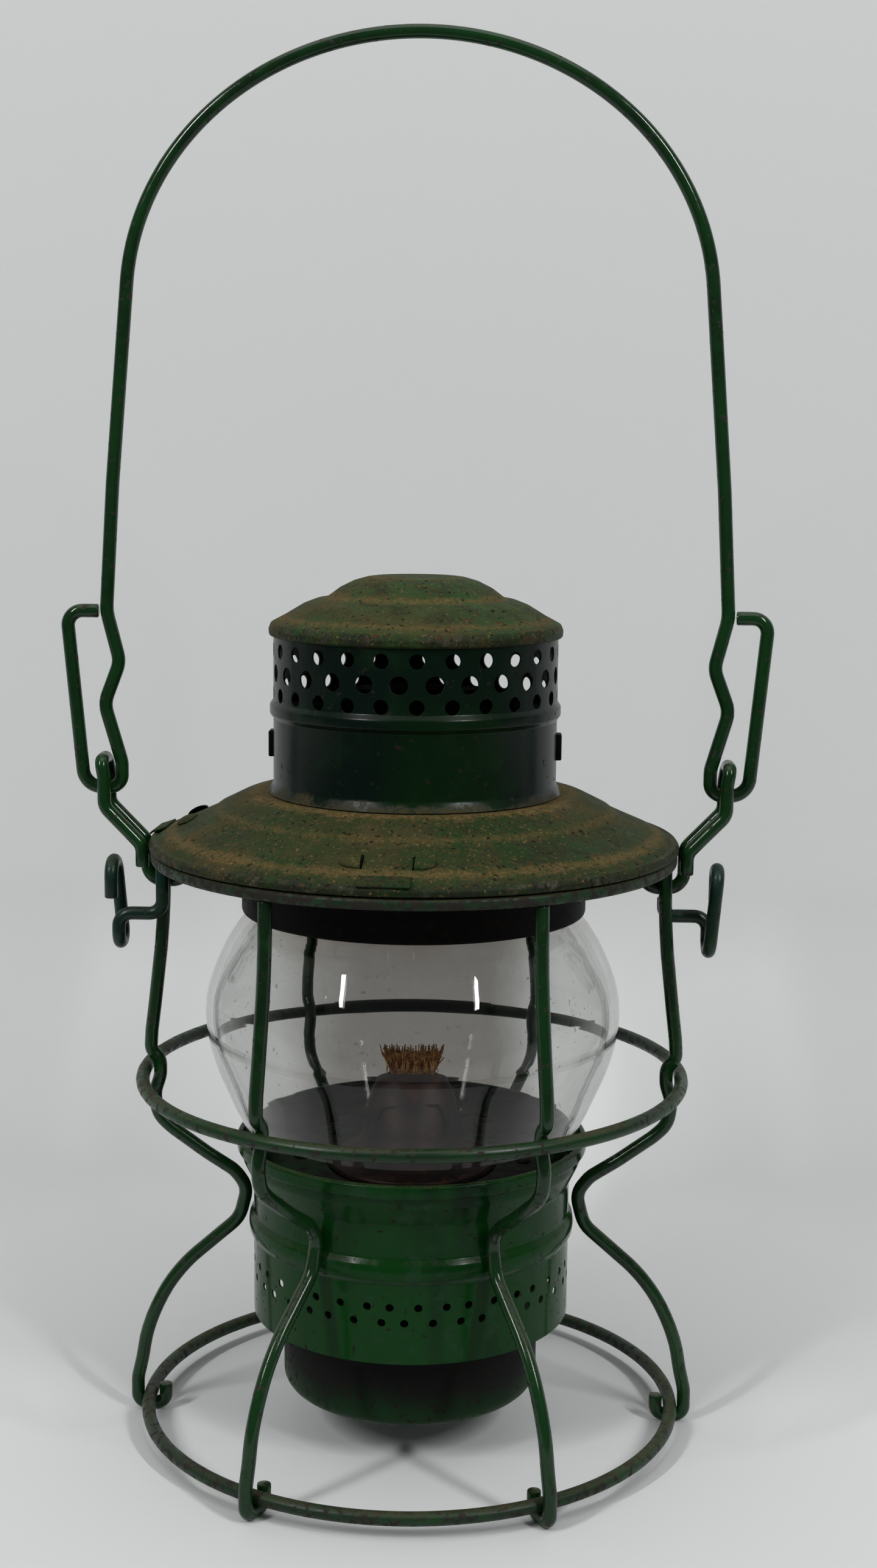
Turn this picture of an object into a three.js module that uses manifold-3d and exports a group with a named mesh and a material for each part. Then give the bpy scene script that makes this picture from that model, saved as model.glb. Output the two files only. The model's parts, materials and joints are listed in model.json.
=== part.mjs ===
import * as THREE from 'three';
import { mergeVertices } from 'three/addons/utils/BufferGeometryUtils.js';
import Module from 'manifold-3d';

// A railroad hand lantern: a wire guard with a hinged sheet-metal lid, a short globe,
// a drop-out oil fount with its burner, and a wire bail. Millimetres, +Z up, front at -Y.
// The origin is on the ground under the middle of the guard.

const wasm = await Module();
wasm.setup();

// Clearances and stock
const CLEARANCE = 0.3;
const WIRE_D = 4.2;
const WIRE_R = WIRE_D / 2;
const WIRE_PITCH = WIRE_D + CLEARANCE;
const SHEET = 1.1;
const CUT_OVERRUN = 1;

// Facets of round forms
const WIRE_SIDES = 6;
const RING_STEPS = 30;
const LATHE_STEPS = 24;
const HOLE_SIDES = 5;
const BEND_STEP = THREE.MathUtils.degToRad(46);
const BEND_ROOM_SHARE = 0.98;
const BEND_PLACE = 3;
const KINK_TURN = THREE.MathUtils.degToRad(16);
const FACET_TOLERANCE = 0.02;
const WIRE_FLAT = WIRE_R * Math.cos(Math.PI / WIRE_SIDES);

// Globe: its outline has shares of the swell from mouth to belly, with shares of the height
const GLOBE_H = 82.5;
const GLOBE_WALL = 3;
const GLOBE_BELLY_R = 64.6;
const GLOBE_BASE_R = 46.6;
const GLOBE_MOUTH_R = 50.2;
const GLOBE_PLATE_HOLES = 8;
const GLOBE_PLATE_HOLE_D = 5;
const globeLowShares = [[0, 0], [0.12, 0.05], [0.5, 0.225], [0.79, 0.375], [0.96, 0.49], [1, 0.575]];
const globeHighShares = [[0.9, 0.7], [0.71, 0.79], [0.36, 0.91], [0, 1]];
const globeInnerShares = [0, 0.5, 0.96, 1, 0.71];

// Guard: two rings and six upright wires
const GUARD_WIRE_COUNT = 6;
const BASE_RING_R = 83.2;
const BASE_RING_Z = WIRE_FLAT + WIRE_PITCH;
const GUARD_GLOBE_GAP = 17.3;
const GUARD_RING_R = GLOBE_BELLY_R + GUARD_GLOBE_GAP + WIRE_R;
const GUARD_RING_Z = 113.8;
const GUARD_CHEST_INSET = 1.5;
const GUARD_SHOULDER_INSET = 2.6;
const GUARD_SHOULDER_Z = 98.6;
const GUARD_HIP_FLARE = 1.6;
const GUARD_HIP_Z = 25.6;
const GUARD_BEND_R = 9;
const GUARD_JOGGLE_RUN = 5;
const GUARD_JOGGLE_DROP = 5.6;
const FOOT_RISE = 2.4;
const FOOT_BEND_R = 3;
const headCurveShares = [0.14, 0.33];
const legShares = [[0.1, 0.8], [0.62, 0.48]];

// Top ring: the rolled sheet ring that the guard wires and the lid meet
const GLOBE_PASSAGE = 4;
const TOP_RING_W = 12.4;
const TOP_RING_INNER_R = GLOBE_BELLY_R + GLOBE_PASSAGE;
const TOP_RING_R = TOP_RING_INNER_R + TOP_RING_W;
const GUARD_HEAD_INSET = 3.3;
const GUARD_HEAD_R = TOP_RING_R - GUARD_HEAD_INSET;
const TOP_RING_BASE_Z = 182.2;
const TOP_RING_BEAD_H = 3.4;
const TOP_RING_FLANGE_H = 1.6;

// Globe holder: flared cup, beaded neck and skirt with two rows of air holes
const HOLDER_R = 49.7;
const HOLDER_BASE_Z = 38;
const HOLDER_BEAD_Z = 66.6;
const HOLDER_BEAD_H = 5.6;
const HOLDER_BEAD_RISE = 1.6;
const HOLDER_FLARE_Z = 81;
const HOLDER_LIP_Z = 88.5;
const HOLDER_LIP_PLAY = 2.1;
const HOLDER_LIP_H = 6.2;
const VENT_GROUPS = 13;
const VENTS_A_GROUP = 3;
const VENT_PITCH = THREE.MathUtils.degToRad(9.9);
const VENT_D = 2.1;
const VENT_TOP_Z = 55.6;
const VENT_ROW_DROP = 4.8;
const VENT_FIRST = THREE.MathUtils.degToRad(-94.7);
const VENT_ROW_TURN = THREE.MathUtils.degToRad(5.1);
const VENT_SIDES = 4;
const LEDGE_Z = 70.4;
const LEDGE_W = 4.6;
const LUG_COUNT = 3;
const LUG_TURN = THREE.MathUtils.degToRad(30);
const LUG_SPAN = THREE.MathUtils.degToRad(16);
const LUG_PLAY = THREE.MathUtils.degToRad(4);
const LUG_INSET = 1.4;
const GLOBE_SEAT_DROP = 2.8;
const FLARE_WALL_SHARE = 1.2;
const BEAD_FLAT_SHARE = 0.5;

// Lid: stepped brim, chimney with a perforated band, cap and globe collar
const BRIM_LAP = 0.4;
const BRIM_R = TOP_RING_R + BRIM_LAP;
const brimShares = [
  [0.03, 0.21], [0.1, 0.23], [0.19, 0.34], [0.5, 0.6],
  [0.61, 0.78], [0.75, 0.92], [0.92, 1], [1, 1],
];
const BRIM_BEAD_H = 3.4;
const CHIMNEY_R = 43.4;
const CHIMNEY_STEPS = 26;
const CHIMNEY_BASE_Z = 203.4;
const CHIMNEY_BEAD_Z = 226.5;
const CHIMNEY_BEAD_H = 5;
const CHIMNEY_BEAD_RISE = 1.2;
const CHIMNEY_TOP_Z = 250.6;
const CHIMNEY_HOLE_D = 4.5;
const CHIMNEY_WIDE_HOLE_D = 5.4;
const CHIMNEY_ROW_TOP_Z = 247.2;
const CHIMNEY_ROW_MIDDLE_Z = 240.3;
const CHIMNEY_ROW_LOW_Z = 233.9;
const CHIMNEY_FIRST_HOLE = THREE.MathUtils.degToRad(-87);
const CHIMNEY_FACET_TURN = THREE.MathUtils.degToRad(3.72);
const CAP_LAP = 0.9;
const CAP_R = CHIMNEY_R + CAP_LAP;
const CAP_RIM_H = 4.2;
const CAP_RISE = 14.2;
const CAP_FLAT_R = 14.8;
const CAP_ROLL = 0.9;
const capShares = [
  [0.94, 0.08], [0.775, 0.4], [0.66, 0.53], [0.607, 0.55], [0.524, 0.75], [0.41, 0.92],
];
const COLLAR_PLAY = 1.9;
const COLLAR_R = GLOBE_MOUTH_R + COLLAR_PLAY + SHEET;
const COLLAR_SHELF_W = 12.1;
const COLLAR_LAP = 2.3;
const CHIMNEY_TAB_W = 6;
const CHIMNEY_TAB_H = 8;
const CHIMNEY_TAB_Z = 217.6;
const CHIMNEY_TAB_RISE = 1.1;

// Brim clips: a tab over the rim with two half-moon lugs behind it
const CLIP_TURNS = [THREE.MathUtils.degToRad(-93.5), THREE.MathUtils.degToRad(176.5)];
const CLIP_W = 15;
const RIM_TAB_L = 4.6;
const LID_SPRING_W = 12;
const LID_SPRING_DROP = 3;
const LUG_DOME_W = 6.6;
const LUG_DOME_L = 7;
const LUG_DOME_H = 2;
const LUG_DOME_INSET = 13;
const LUG_DOME_SPREAD = 8.4;
const LUG_DOME_STEPS = 6;

// Lid hinge at the back
const HINGE_PIN_D = 3;
const HINGE_BARREL_D = 5;
const HINGE_BARREL_W = 7;
const HINGE_BARRELS = 3;
const HINGE_LEAF_DROP = 3.4;
const HINGE_LEAF_L = 4.6;
const HINGE_SIDES = 12;

// Bail, with a long closed eye at each foot
const EYE_EAR_OFFSET = 0.2;
const EYE_BEND_R = 5.8;
const EYE_DROP = 8.8;
const EYE_H = 54.5;
const BAIL_LEG_INSET = 1.6;
const BAIL_TOP_Z = 428.7;
const BAIL_KINK_IN = 3.9;
const BAIL_KINK_OUT = 1;
const EYE_TOP_REACH = 12.3;
const BAIL_BEND_R = 5.8;
const KINK_LOW_RISE = 8;
const KINK_OUT_RISE = 26;
const KINK_IN_RISE = 39;
const ARCH_FOOT_INSET = 6.8;
const ARCH_FOOT_Z = 350;
const ARCH_STEPS = 12;

// Ears: a hairpin of wire each side that carries an eye of the bail
const EAR_REACH = 14;
const EAR_HALF_W = 4.9;
const EAR_TOP_LEAN = 0.8;
const EAR_TOP_Z = 211.8;
const EAR_KNEE_Z = 197.6;
const EAR_FOOT_Z = 185.6;
const EAR_HEEL_Z = 173;
const EAR_TOE_INSET = 10;
const EAR_BEND_R = 5;
const EAR_SHORT_LEG_Z = 179;

// Side hooks under the ears, which catch the eyes when the bail is down
const HOOK_ARM_Z = 164.2;
const HOOK_LOW_REACH = 13.7;
const HOOK_LOW_Z = 154.3;
const HOOK_TOP_REACH = 15.9;
const HOOK_TOP_Z = 179.8;
const HOOK_TIP_Z = 168.9;
const HOOK_BEND_R = 4.5;
const HOOK_SHORT_LEG = 6;
const HOOK_HALF_W = WIRE_PITCH;

// Fount: pot, neck and bayonet plate
const FOUNT_R = 40.2;
const FOUNT_STEPS = 20;
const FOUNT_BASE_Z = 12;
const FOUNT_TOP_Z = 62;
const FOUNT_CORNER_R = 8;
const FOUNT_NECK_R = 16;
const FOUNT_SHOULDER_H = 5;
const CORNER_CUT_SHARE = 0.29;
const PLATE_T = 1.6;
const PLATE_HOLES = 6;
const PLATE_HOLE_D = 7;

// Burner: draught cup, cone, wick tube, wick and its winder
const BURNER_CUP_R = 26;
const BURNER_CUP_H = 12.6;
const CONE_R = 14.3;
const CONE_TOP_Z = 113;
const CONE_SLOT_H = 8;
const coneShares = [
  [1, 0.05], [0.28, 0.21], [0.02, 0.4], [-0.02, 0.68], [-0.12, 0.82], [-0.3, 0.94],
];
const BURNER_STEPS = 16;
const CUP_FLOOR_W = 8;
const TUBE_W = 15.4;
const TUBE_T = 4;
const TUBE_WALL = 0.5;
const TUBE_TOP_Z = 110;
const WICK_W = 13.4;
const WICK_T = 2;
const WICK_FRAY_W = 17.6;
const WICK_TOP_Z = 120;
const WICK_TAIL_Z = 30;
const WICK_FRAY_LIFT = 1;
const frayShares = [
  [1, 0.5], [0.86, 0.8], [0.62, 0.62], [0.4, 0.96], [0.18, 0.7], [-0.04, 1],
  [-0.3, 0.74], [-0.52, 0.94], [-0.74, 0.66], [-1, 0.78],
];
const SPUR_R = 3.5;
const SPUR_TEETH = 8;
const SPUR_T = 1.6;
const SPUR_SPACING = 6;
const SHAFT_D = 2.4;
const SHAFT_SIDES = 8;
const SPUR_TOOTH_H = 0.8;
const KNOB_R = 4.4;
const KNOB_T = 2.4;
const KNOB_X = 27.4;
const KNOB_FLUTES = 8;
const KNOB_FLUTE_H = 0.5;

const group = new THREE.Group();

const enamel = { color: 0x0c2012, roughness: 0.28, metalness: 0.1 };
const dustyEnamel = { color: 0x4b4a30, roughness: 0.8, metalness: 0.05 };
const paintedGreen = { color: 0x1d3a22, roughness: 0.45, metalness: 0.1 };
const blackEnamel = { color: 0x0b0c0b, roughness: 0.5, metalness: 0.1 };
const agedBrass = { color: 0x5b4238, roughness: 0.6, metalness: 0.5 };
const cotton = { color: 0x8a5a2c, roughness: 0.95, metalness: 0 };
const glass = { color: 0xdfe6e4, roughness: 0.05, metalness: 0, transparent: true, opacity: 0.35 };

function add(name, geometry, finish) {
  const mesh = new THREE.Mesh(geometry, new THREE.MeshStandardMaterial(finish));
  mesh.name = name;
  group.add(mesh);
  return mesh;
}

// Keeps only positions, with shared corners merged and slivers of no area dropped
function weld(geometry) {
  const bare = geometry.clone();
  bare.deleteAttribute('normal');
  bare.deleteAttribute('uv');
  const merged = mergeVertices(bare);
  const kept = [];
  for (let i = 0; i < merged.index.count; i += 3) {
    const corners = [0, 1, 2].map((step) => merged.index.getX(i + step));
    if (new Set(corners).size === corners.length) kept.push(...corners);
  }
  merged.setIndex(kept);
  return merged;
}

function toSolid(geometry) {
  const welded = weld(geometry);
  return new wasm.Manifold(new wasm.Mesh({
    numProp: 3,
    vertProperties: new Float32Array(welded.attributes.position.array),
    triVerts: new Uint32Array(welded.index.array),
  }));
}

function toGeometry(solid) {
  const mesh = solid.asOriginal().simplify(FACET_TOLERANCE).getMesh();
  const geometry = new THREE.BufferGeometry();
  geometry.setAttribute('position', new THREE.BufferAttribute(mesh.vertProperties, mesh.numProp));
  geometry.setIndex(new THREE.BufferAttribute(mesh.triVerts, 1));
  return geometry;
}

function cut(geometry, cutters) {
  return toGeometry(cutters.reduce((solid, cutter) => solid.subtract(toSolid(cutter)), toSolid(geometry)));
}

function join(geometries) {
  return toGeometry(geometries.map(toSolid).reduce((solid, next) => solid.add(next)));
}

// Revolves an outline of [radius, height] pairs, which runs up the outside, about the Z axis
function revolve(outline, steps = LATHE_STEPS, start = 0) {
  const points = outline.map(([radius, height]) => new THREE.Vector2(radius, height));
  return weld(new THREE.LatheGeometry(points, steps, start).rotateX(Math.PI / 2));
}

// Revolves a closed outline, such as the section of a shell
function revolveClosed(outline, steps = LATHE_STEPS, start = 0) {
  return revolve([...outline, outline[0]], steps, start);
}

// A line of [radius, height] pairs moved to its inner side, the left as it climbs
function innerLine(line, wall) {
  return line.map(([radius, height], index) => {
    const before = line[Math.max(index - 1, 0)];
    const after = line[Math.min(index + 1, line.length - 1)];
    const run = new THREE.Vector2(after[0] - before[0], after[1] - before[1]).normalize();
    return [Math.max(radius - run.y * wall, 0), height + run.x * wall];
  });
}

// The section of a sheet of even thickness under an outer line that climbs
function sheetSection(line, wall = SHEET) {
  return [...line, ...innerLine(line, wall).reverse()];
}

// The height of a line of [radius, height] pairs at a radius, for a line that climbs inward
function heightAt(line, radius) {
  const index = line.findIndex(([r]) => r <= radius);
  const [[outerR, low], [innerR, high]] = [line[index - 1], line[index]];
  return low + ((high - low) * (outerR - radius)) / (outerR - innerR);
}

// The radius of a line of [radius, height] pairs at a height, for a line that climbs
function radiusAt(line, z) {
  const index = line.findIndex(([, height]) => height >= z);
  const [[lowR, low], [highR, high]] = [line[index - 1], line[index]];
  return lowR + ((highR - lowR) * (z - low)) / (high - low);
}

function circle(radius, sides, turn = 0) {
  const corners = Array.from({ length: sides }, (_, index) => {
    const angle = turn + (index / sides) * 2 * Math.PI;
    return new THREE.Vector2(radius * Math.cos(angle), radius * Math.sin(angle));
  });
  return new THREE.Shape(corners);
}

// A ring of round wire about the Z axis
function wireRing(ringR, z, sides = WIRE_SIDES) {
  const section = circle(WIRE_R, sides).getPoints().slice(0, sides);
  return revolveClosed(section.map((corner) => [ringR + corner.x, z + corner.y]), RING_STEPS);
}

// The stations of a bent wire: straight runs joined by round bends. A corner may name its own bend.
function bends(corners, usualBendR) {
  const points = corners.map(([x, y, z]) => new THREE.Vector3(x, y, z));
  const last = points.length - 1;
  return points.flatMap((corner, index) => {
    const into = corner.clone().sub(points[Math.max(index - 1, 0)]).normalize();
    const out = points[Math.min(index + 1, last)].clone().sub(corner).normalize();
    if (index === 0) return [{ point: corner, tangent: out }];
    if (index === last) return [{ point: corner, tangent: into }];
    const bendR = corners[index][BEND_PLACE] ?? usualBendR;
    const room = Math.min(corner.distanceTo(points[index - 1]), corner.distanceTo(points[index + 1])) / 2;
    const roomR = (room * BEND_ROOM_SHARE) / Math.tan(into.angleTo(out) / 2);
    return bend(corner, into, out, Math.min(bendR, roomR));
  });
}

// One bend at a corner, in steps of BEND_STEP or less; a slight turn is a plain kink
function bend(corner, into, out, bendR) {
  const turn = into.angleTo(out);
  if (turn < KINK_TURN) return [{ point: corner, tangent: into.clone().add(out).normalize() }];
  const steps = Math.max(1, Math.ceil(turn / BEND_STEP));
  const inward = out.clone().sub(into).normalize();
  const centre = corner.clone().addScaledVector(inward, bendR / Math.cos(turn / 2));
  const axis = into.clone().cross(out).normalize();
  const arm = corner.clone().addScaledVector(into, -bendR * Math.tan(turn / 2)).sub(centre);
  return Array.from({ length: steps + 1 }, (_, step) => ({
    point: arm.clone().applyAxisAngle(axis, (turn * step) / steps).add(centre),
    tangent: into.clone().applyAxisAngle(axis, (turn * step) / steps),
  }));
}

// A curve that passes through its stations and nowhere between them
class WireLine extends THREE.Curve {
  constructor(stations) {
    super();
    this.stations = stations;
    this.steps = stations.length - 1;
  }

  getSpacedPoints() {
    return this.stations.map((station) => station.point.clone());
  }

  getTangentAt(share, target = new THREE.Vector3()) {
    return target.copy(this.stations[Math.round(share * this.steps)].tangent);
  }
}

function wireAlong(stations, sides = WIRE_SIDES) {
  const line = new WireLine(stations);
  const section = circle(WIRE_R, sides);
  return weld(new THREE.ExtrudeGeometry(section, { extrudePath: line, steps: line.steps, curveSegments: 1 }));
}

function bentWire(corners, bendR, sides = WIRE_SIDES) {
  return wireAlong(bends(corners, bendR), sides);
}

function turned(geometry, angle) {
  return geometry.clone().rotateZ(angle);
}

// A radial cutter or peg at a height, pointing out from the Z axis
function radialRod(diameter, fromR, toR, z, angle, sides = HOLE_SIDES) {
  const rod = new THREE.CylinderGeometry(diameter / 2, diameter / 2, toR - fromR, sides);
  return rod.rotateZ(-Math.PI / 2).translate((fromR + toR) / 2, 0, z).rotateZ(angle);
}

function box(width, depth, height, x, y, z) {
  return new THREE.BoxGeometry(width, depth, height).translate(x, y, z);
}

function around(count, start = 0) {
  return Array.from({ length: count }, (_, index) => start + (index / count) * 2 * Math.PI);
}

// Guard rings
add('base_ring', wireRing(BASE_RING_R, BASE_RING_Z), dustyEnamel);
add('guard_ring', wireRing(GUARD_RING_R, GUARD_RING_Z), dustyEnamel);

// Guard wires: from under the top ring, inside the guard ring, in to the holder's neck,
// out over the base ring and under it in a hook
const neckZ = (HOLDER_BEAD_Z + HOLDER_BEAD_H / 2 + HOLDER_FLARE_Z) / 2;
const neckR = HOLDER_R + CLEARANCE + WIRE_R;
const joggleR = GUARD_RING_R - WIRE_PITCH;
const chestR = GUARD_RING_R - GUARD_CHEST_INSET;
const shoulderR = GUARD_RING_R - GUARD_SHOULDER_INSET;
const hipR = BASE_RING_R + GUARD_HIP_FLARE;
const footR = BASE_RING_R + WIRE_PITCH;
const toeR = BASE_RING_R - WIRE_PITCH;
const chestZ = GUARD_RING_Z + GUARD_JOGGLE_DROP;
const headZ = TOP_RING_BASE_Z - CLEARANCE;
const legSpanR = hipR - neckR;
const legSpanZ = neckZ - GUARD_HIP_Z;

const guardLine = [
  [GUARD_HEAD_R, headZ],
  [
    GUARD_HEAD_R + (chestR - GUARD_HEAD_R) * headCurveShares[0],
    headZ - (headZ - chestZ) * headCurveShares[1],
  ],
  [chestR, chestZ],
  [joggleR, GUARD_RING_Z + GUARD_JOGGLE_RUN / 2],
  [joggleR, GUARD_RING_Z - GUARD_JOGGLE_RUN / 2],
  [shoulderR, GUARD_RING_Z - GUARD_JOGGLE_DROP - GUARD_JOGGLE_RUN / 2],
  [shoulderR, GUARD_SHOULDER_Z],
  [neckR, neckZ],
  ...legShares.map(([out, up]) => [neckR + legSpanR * out, GUARD_HIP_Z + legSpanZ * up]),
  [hipR, GUARD_HIP_Z],
  [footR, BASE_RING_Z + WIRE_PITCH],
  [footR, WIRE_FLAT, FOOT_BEND_R],
  [toeR, WIRE_FLAT, FOOT_BEND_R],
  [toeR, BASE_RING_Z + FOOT_RISE],
];
const guardWire = bentWire(guardLine.map(([r, z, bendR]) => [r, 0, z, bendR]), GUARD_BEND_R);
around(GUARD_WIRE_COUNT).forEach((angle, index) => {
  add(`guard_wire_${index + 1}`, turned(guardWire, angle), enamel);
});

// Top ring: a flat flange with a rolled outer bead
const topRingTopZ = TOP_RING_BASE_Z + TOP_RING_BEAD_H;
const topRingSection = [
  [TOP_RING_INNER_R, topRingTopZ - TOP_RING_FLANGE_H],
  [TOP_RING_R - TOP_RING_BEAD_H, topRingTopZ - TOP_RING_FLANGE_H],
  [TOP_RING_R - TOP_RING_BEAD_H, TOP_RING_BASE_Z],
  [TOP_RING_R - SHEET, TOP_RING_BASE_Z],
  [TOP_RING_R, TOP_RING_BASE_Z + SHEET],
  [TOP_RING_R, topRingTopZ - SHEET],
  [TOP_RING_R - SHEET, topRingTopZ],
  [TOP_RING_INNER_R, topRingTopZ],
];

// The hinge axis at the back, and the notch that its barrels need in the two rims
const lidBaseZ = topRingTopZ + CLEARANCE;
const hingeY = BRIM_R + SHEET;
const hingeZ = topRingTopZ + CLEARANCE / 2;
const hingeW = HINGE_BARREL_W * HINGE_BARRELS + CLEARANCE * (HINGE_BARRELS - 1);
const hingeNotchR = HINGE_BARREL_D / 2 + CLEARANCE;
const hingeNotch = box(
  hingeW + CLEARANCE * 2, hingeNotchR * 2, (hingeNotchR + BRIM_BEAD_H) * 2, 0, hingeY, hingeZ,
);
add('top_ring', cut(revolveClosed(topRingSection, RING_STEPS), [hingeNotch]), enamel);

// Ears
const earFootX = BRIM_R + CLEARANCE + WIRE_R;
const earX = BRIM_R + EAR_REACH;
const earTopX = earX + EAR_TOP_LEAN;
const earToeX = TOP_RING_R - EAR_TOE_INSET;
const earToeZ = topRingTopZ - TOP_RING_FLANGE_H - CLEARANCE;
const earTopBendZ = EAR_TOP_Z - EAR_BEND_R;
function earCorners(side) {
  const atX = (x) => x * side;
  return [
    [atX(earFootX), -EAR_HALF_W, EAR_SHORT_LEG_Z],
    [atX(earFootX), -EAR_HALF_W, EAR_FOOT_Z],
    [atX(earX), -EAR_HALF_W, EAR_KNEE_Z],
    [atX(earX), -EAR_HALF_W, earTopBendZ],
    [atX(earTopX), -EAR_HALF_W, EAR_TOP_Z],
    [atX(earTopX), EAR_HALF_W, EAR_TOP_Z],
    [atX(earX), EAR_HALF_W, earTopBendZ],
    [atX(earX), EAR_HALF_W, EAR_KNEE_Z],
    [atX(earFootX), EAR_HALF_W, EAR_FOOT_Z],
    [atX(earFootX), EAR_HALF_W, EAR_HEEL_Z],
    [atX(earToeX), EAR_HALF_W, EAR_HEEL_Z],
    [atX(earToeX), EAR_HALF_W, earToeZ],
  ];
}
add('ear_right', bentWire(earCorners(1), EAR_BEND_R), enamel);
add('ear_left', bentWire(earCorners(-1), EAR_BEND_R), enamel);

// Side hooks: down beside a guard wire, out, under and up, then over to a short tip
const hookLowX = GUARD_HEAD_R + HOOK_LOW_REACH;
const hookTopX = GUARD_HEAD_R + HOOK_TOP_REACH;
function hookCorners(side, legTopZ) {
  const near = side * HOOK_HALF_W;
  return [
    [side * GUARD_HEAD_R, near, legTopZ],
    [side * GUARD_HEAD_R, near, HOOK_ARM_Z],
    [side * hookLowX, near, HOOK_ARM_Z],
    [side * hookLowX, near, HOOK_LOW_Z],
    [side * hookLowX, -near, HOOK_LOW_Z],
    [side * hookTopX, -near, HOOK_TOP_Z],
    [side * hookTopX, near, HOOK_TOP_Z],
    [side * hookTopX, near, HOOK_TIP_Z],
  ];
}
add('hook_right', bentWire(hookCorners(1, HOOK_ARM_Z + HOOK_SHORT_LEG), HOOK_BEND_R), enamel);
add('hook_left', bentWire(hookCorners(-1, headZ), HOOK_BEND_R), enamel);

// Bail: a long eye at each foot, kinked legs and an arch
const eyeLowZ = EAR_TOP_Z - EYE_DROP;
const eyeTopZ = eyeLowZ + EYE_H;
const eyeCentreX = earTopX + EYE_EAR_OFFSET;
const eyeInnerX = eyeCentreX - EYE_BEND_R;
const eyeOuterX = eyeCentreX + EYE_BEND_R;
const bailLegX = eyeCentreX - BAIL_LEG_INSET;
const archFootX = bailLegX - ARCH_FOOT_INSET;
const footStations = bends([
  [bailLegX + WIRE_R + CLEARANCE, 0, eyeTopZ],
  [bailLegX + EYE_TOP_REACH, 0, eyeTopZ],
  [eyeOuterX, 0, eyeLowZ],
  [eyeInnerX, 0, eyeLowZ],
  [eyeInnerX, 0, eyeLowZ + KINK_LOW_RISE],
  [bailLegX + BAIL_KINK_OUT, 0, eyeLowZ + KINK_OUT_RISE],
  [bailLegX - BAIL_KINK_IN, 0, eyeLowZ + KINK_IN_RISE],
  [bailLegX, 0, eyeTopZ],
  [archFootX, 0, ARCH_FOOT_Z],
], BAIL_BEND_R);
const archStations = Array.from({ length: ARCH_STEPS - 1 }, (_, index) => {
  const angle = ((index + 1) / ARCH_STEPS) * Math.PI;
  const rise = BAIL_TOP_Z - ARCH_FOOT_Z;
  return {
    point: new THREE.Vector3(archFootX * Math.cos(angle), 0, ARCH_FOOT_Z + rise * Math.sin(angle)),
    tangent: new THREE.Vector3(-archFootX * Math.sin(angle), 0, rise * Math.cos(angle)).normalize(),
  };
});
const farStations = footStations.map(({ point, tangent }) => ({
  point: new THREE.Vector3(-point.x, point.y, point.z),
  tangent: new THREE.Vector3(tangent.x, -tangent.y, -tangent.z),
})).reverse();
add('bail', wireAlong([...footStations, ...archStations, ...farStations]), enamel);

// Globe, which stands on a plate just below the holder's lip
const plateTopZ = HOLDER_LIP_Z - GLOBE_SEAT_DROP;
const globeBaseZ = plateTopZ + CLEARANCE;
function globeProfile(lowShares, highShares) {
  return [
    ...lowShares.map(([swell, rise]) => [
      GLOBE_BASE_R + (GLOBE_BELLY_R - GLOBE_BASE_R) * swell, globeBaseZ + GLOBE_H * rise,
    ]),
    ...highShares.map(([swell, rise]) => [
      GLOBE_MOUTH_R + (GLOBE_BELLY_R - GLOBE_MOUTH_R) * swell, globeBaseZ + GLOBE_H * rise,
    ]),
  ];
}
const globeLine = globeProfile(globeLowShares, globeHighShares);
const globeInside = innerLine(globeProfile(
  globeLowShares.filter(([swell]) => globeInnerShares.includes(swell)),
  globeHighShares.filter(([swell]) => globeInnerShares.includes(swell)),
), GLOBE_WALL);
globeInside[0][1] = globeBaseZ;
globeInside[globeInside.length - 1][1] = globeBaseZ + GLOBE_H;
add('globe', revolveClosed([...globeLine, ...globeInside.reverse()]), glass);

// Globe holder
const lipTopZ = HOLDER_LIP_Z + HOLDER_LIP_H;
const lipR = radiusAt(globeLine, lipTopZ) + HOLDER_LIP_PLAY + SHEET;
const beadLowZ = HOLDER_BEAD_Z - HOLDER_BEAD_H / 2;
const beadHighZ = HOLDER_BEAD_Z + HOLDER_BEAD_H / 2;
const beadFlat = (HOLDER_BEAD_H * BEAD_FLAT_SHARE) / 2;
const holderFoot = [HOLDER_R, HOLDER_BASE_Z];
const holderFlare = [
  [HOLDER_R, HOLDER_FLARE_Z],
  [lipR, HOLDER_LIP_Z],
  [lipR, lipTopZ],
];
const holderLine = [
  holderFoot,
  [HOLDER_R, beadLowZ],
  [HOLDER_R + HOLDER_BEAD_RISE, HOLDER_BEAD_Z - beadFlat],
  [HOLDER_R + HOLDER_BEAD_RISE, HOLDER_BEAD_Z + beadFlat],
  [HOLDER_R, beadHighZ],
  ...holderFlare,
];
const holderInside = innerLine([holderFoot, ...holderFlare], SHEET);
const holderFacet = (2 * Math.PI) / (VENT_GROUPS * 2);
const holderStart = VENT_FIRST + Math.PI / 2 + (VENT_PITCH * VENTS_A_GROUP) / 2 - holderFacet / 2;
const holderShell = revolveClosed(
  [...holderLine, ...holderInside.reverse()], VENT_GROUPS * 2, holderStart,
);
const ventAngles = around(VENT_GROUPS, VENT_FIRST).flatMap((angle) => (
  Array.from({ length: VENTS_A_GROUP }, (_, index) => angle + index * VENT_PITCH)
));
const ventRod = (z, angle) => radialRod(
  VENT_D, HOLDER_R - SHEET - CUT_OVERRUN, HOLDER_R + CUT_OVERRUN, z, angle, VENT_SIDES,
);
const ventCutters = ventAngles.flatMap((angle) => [
  ventRod(VENT_TOP_Z, angle), ventRod(VENT_TOP_Z - VENT_ROW_DROP, angle + VENT_ROW_TURN),
]);
add('globe_holder', cut(holderShell, ventCutters), paintedGreen);

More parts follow.
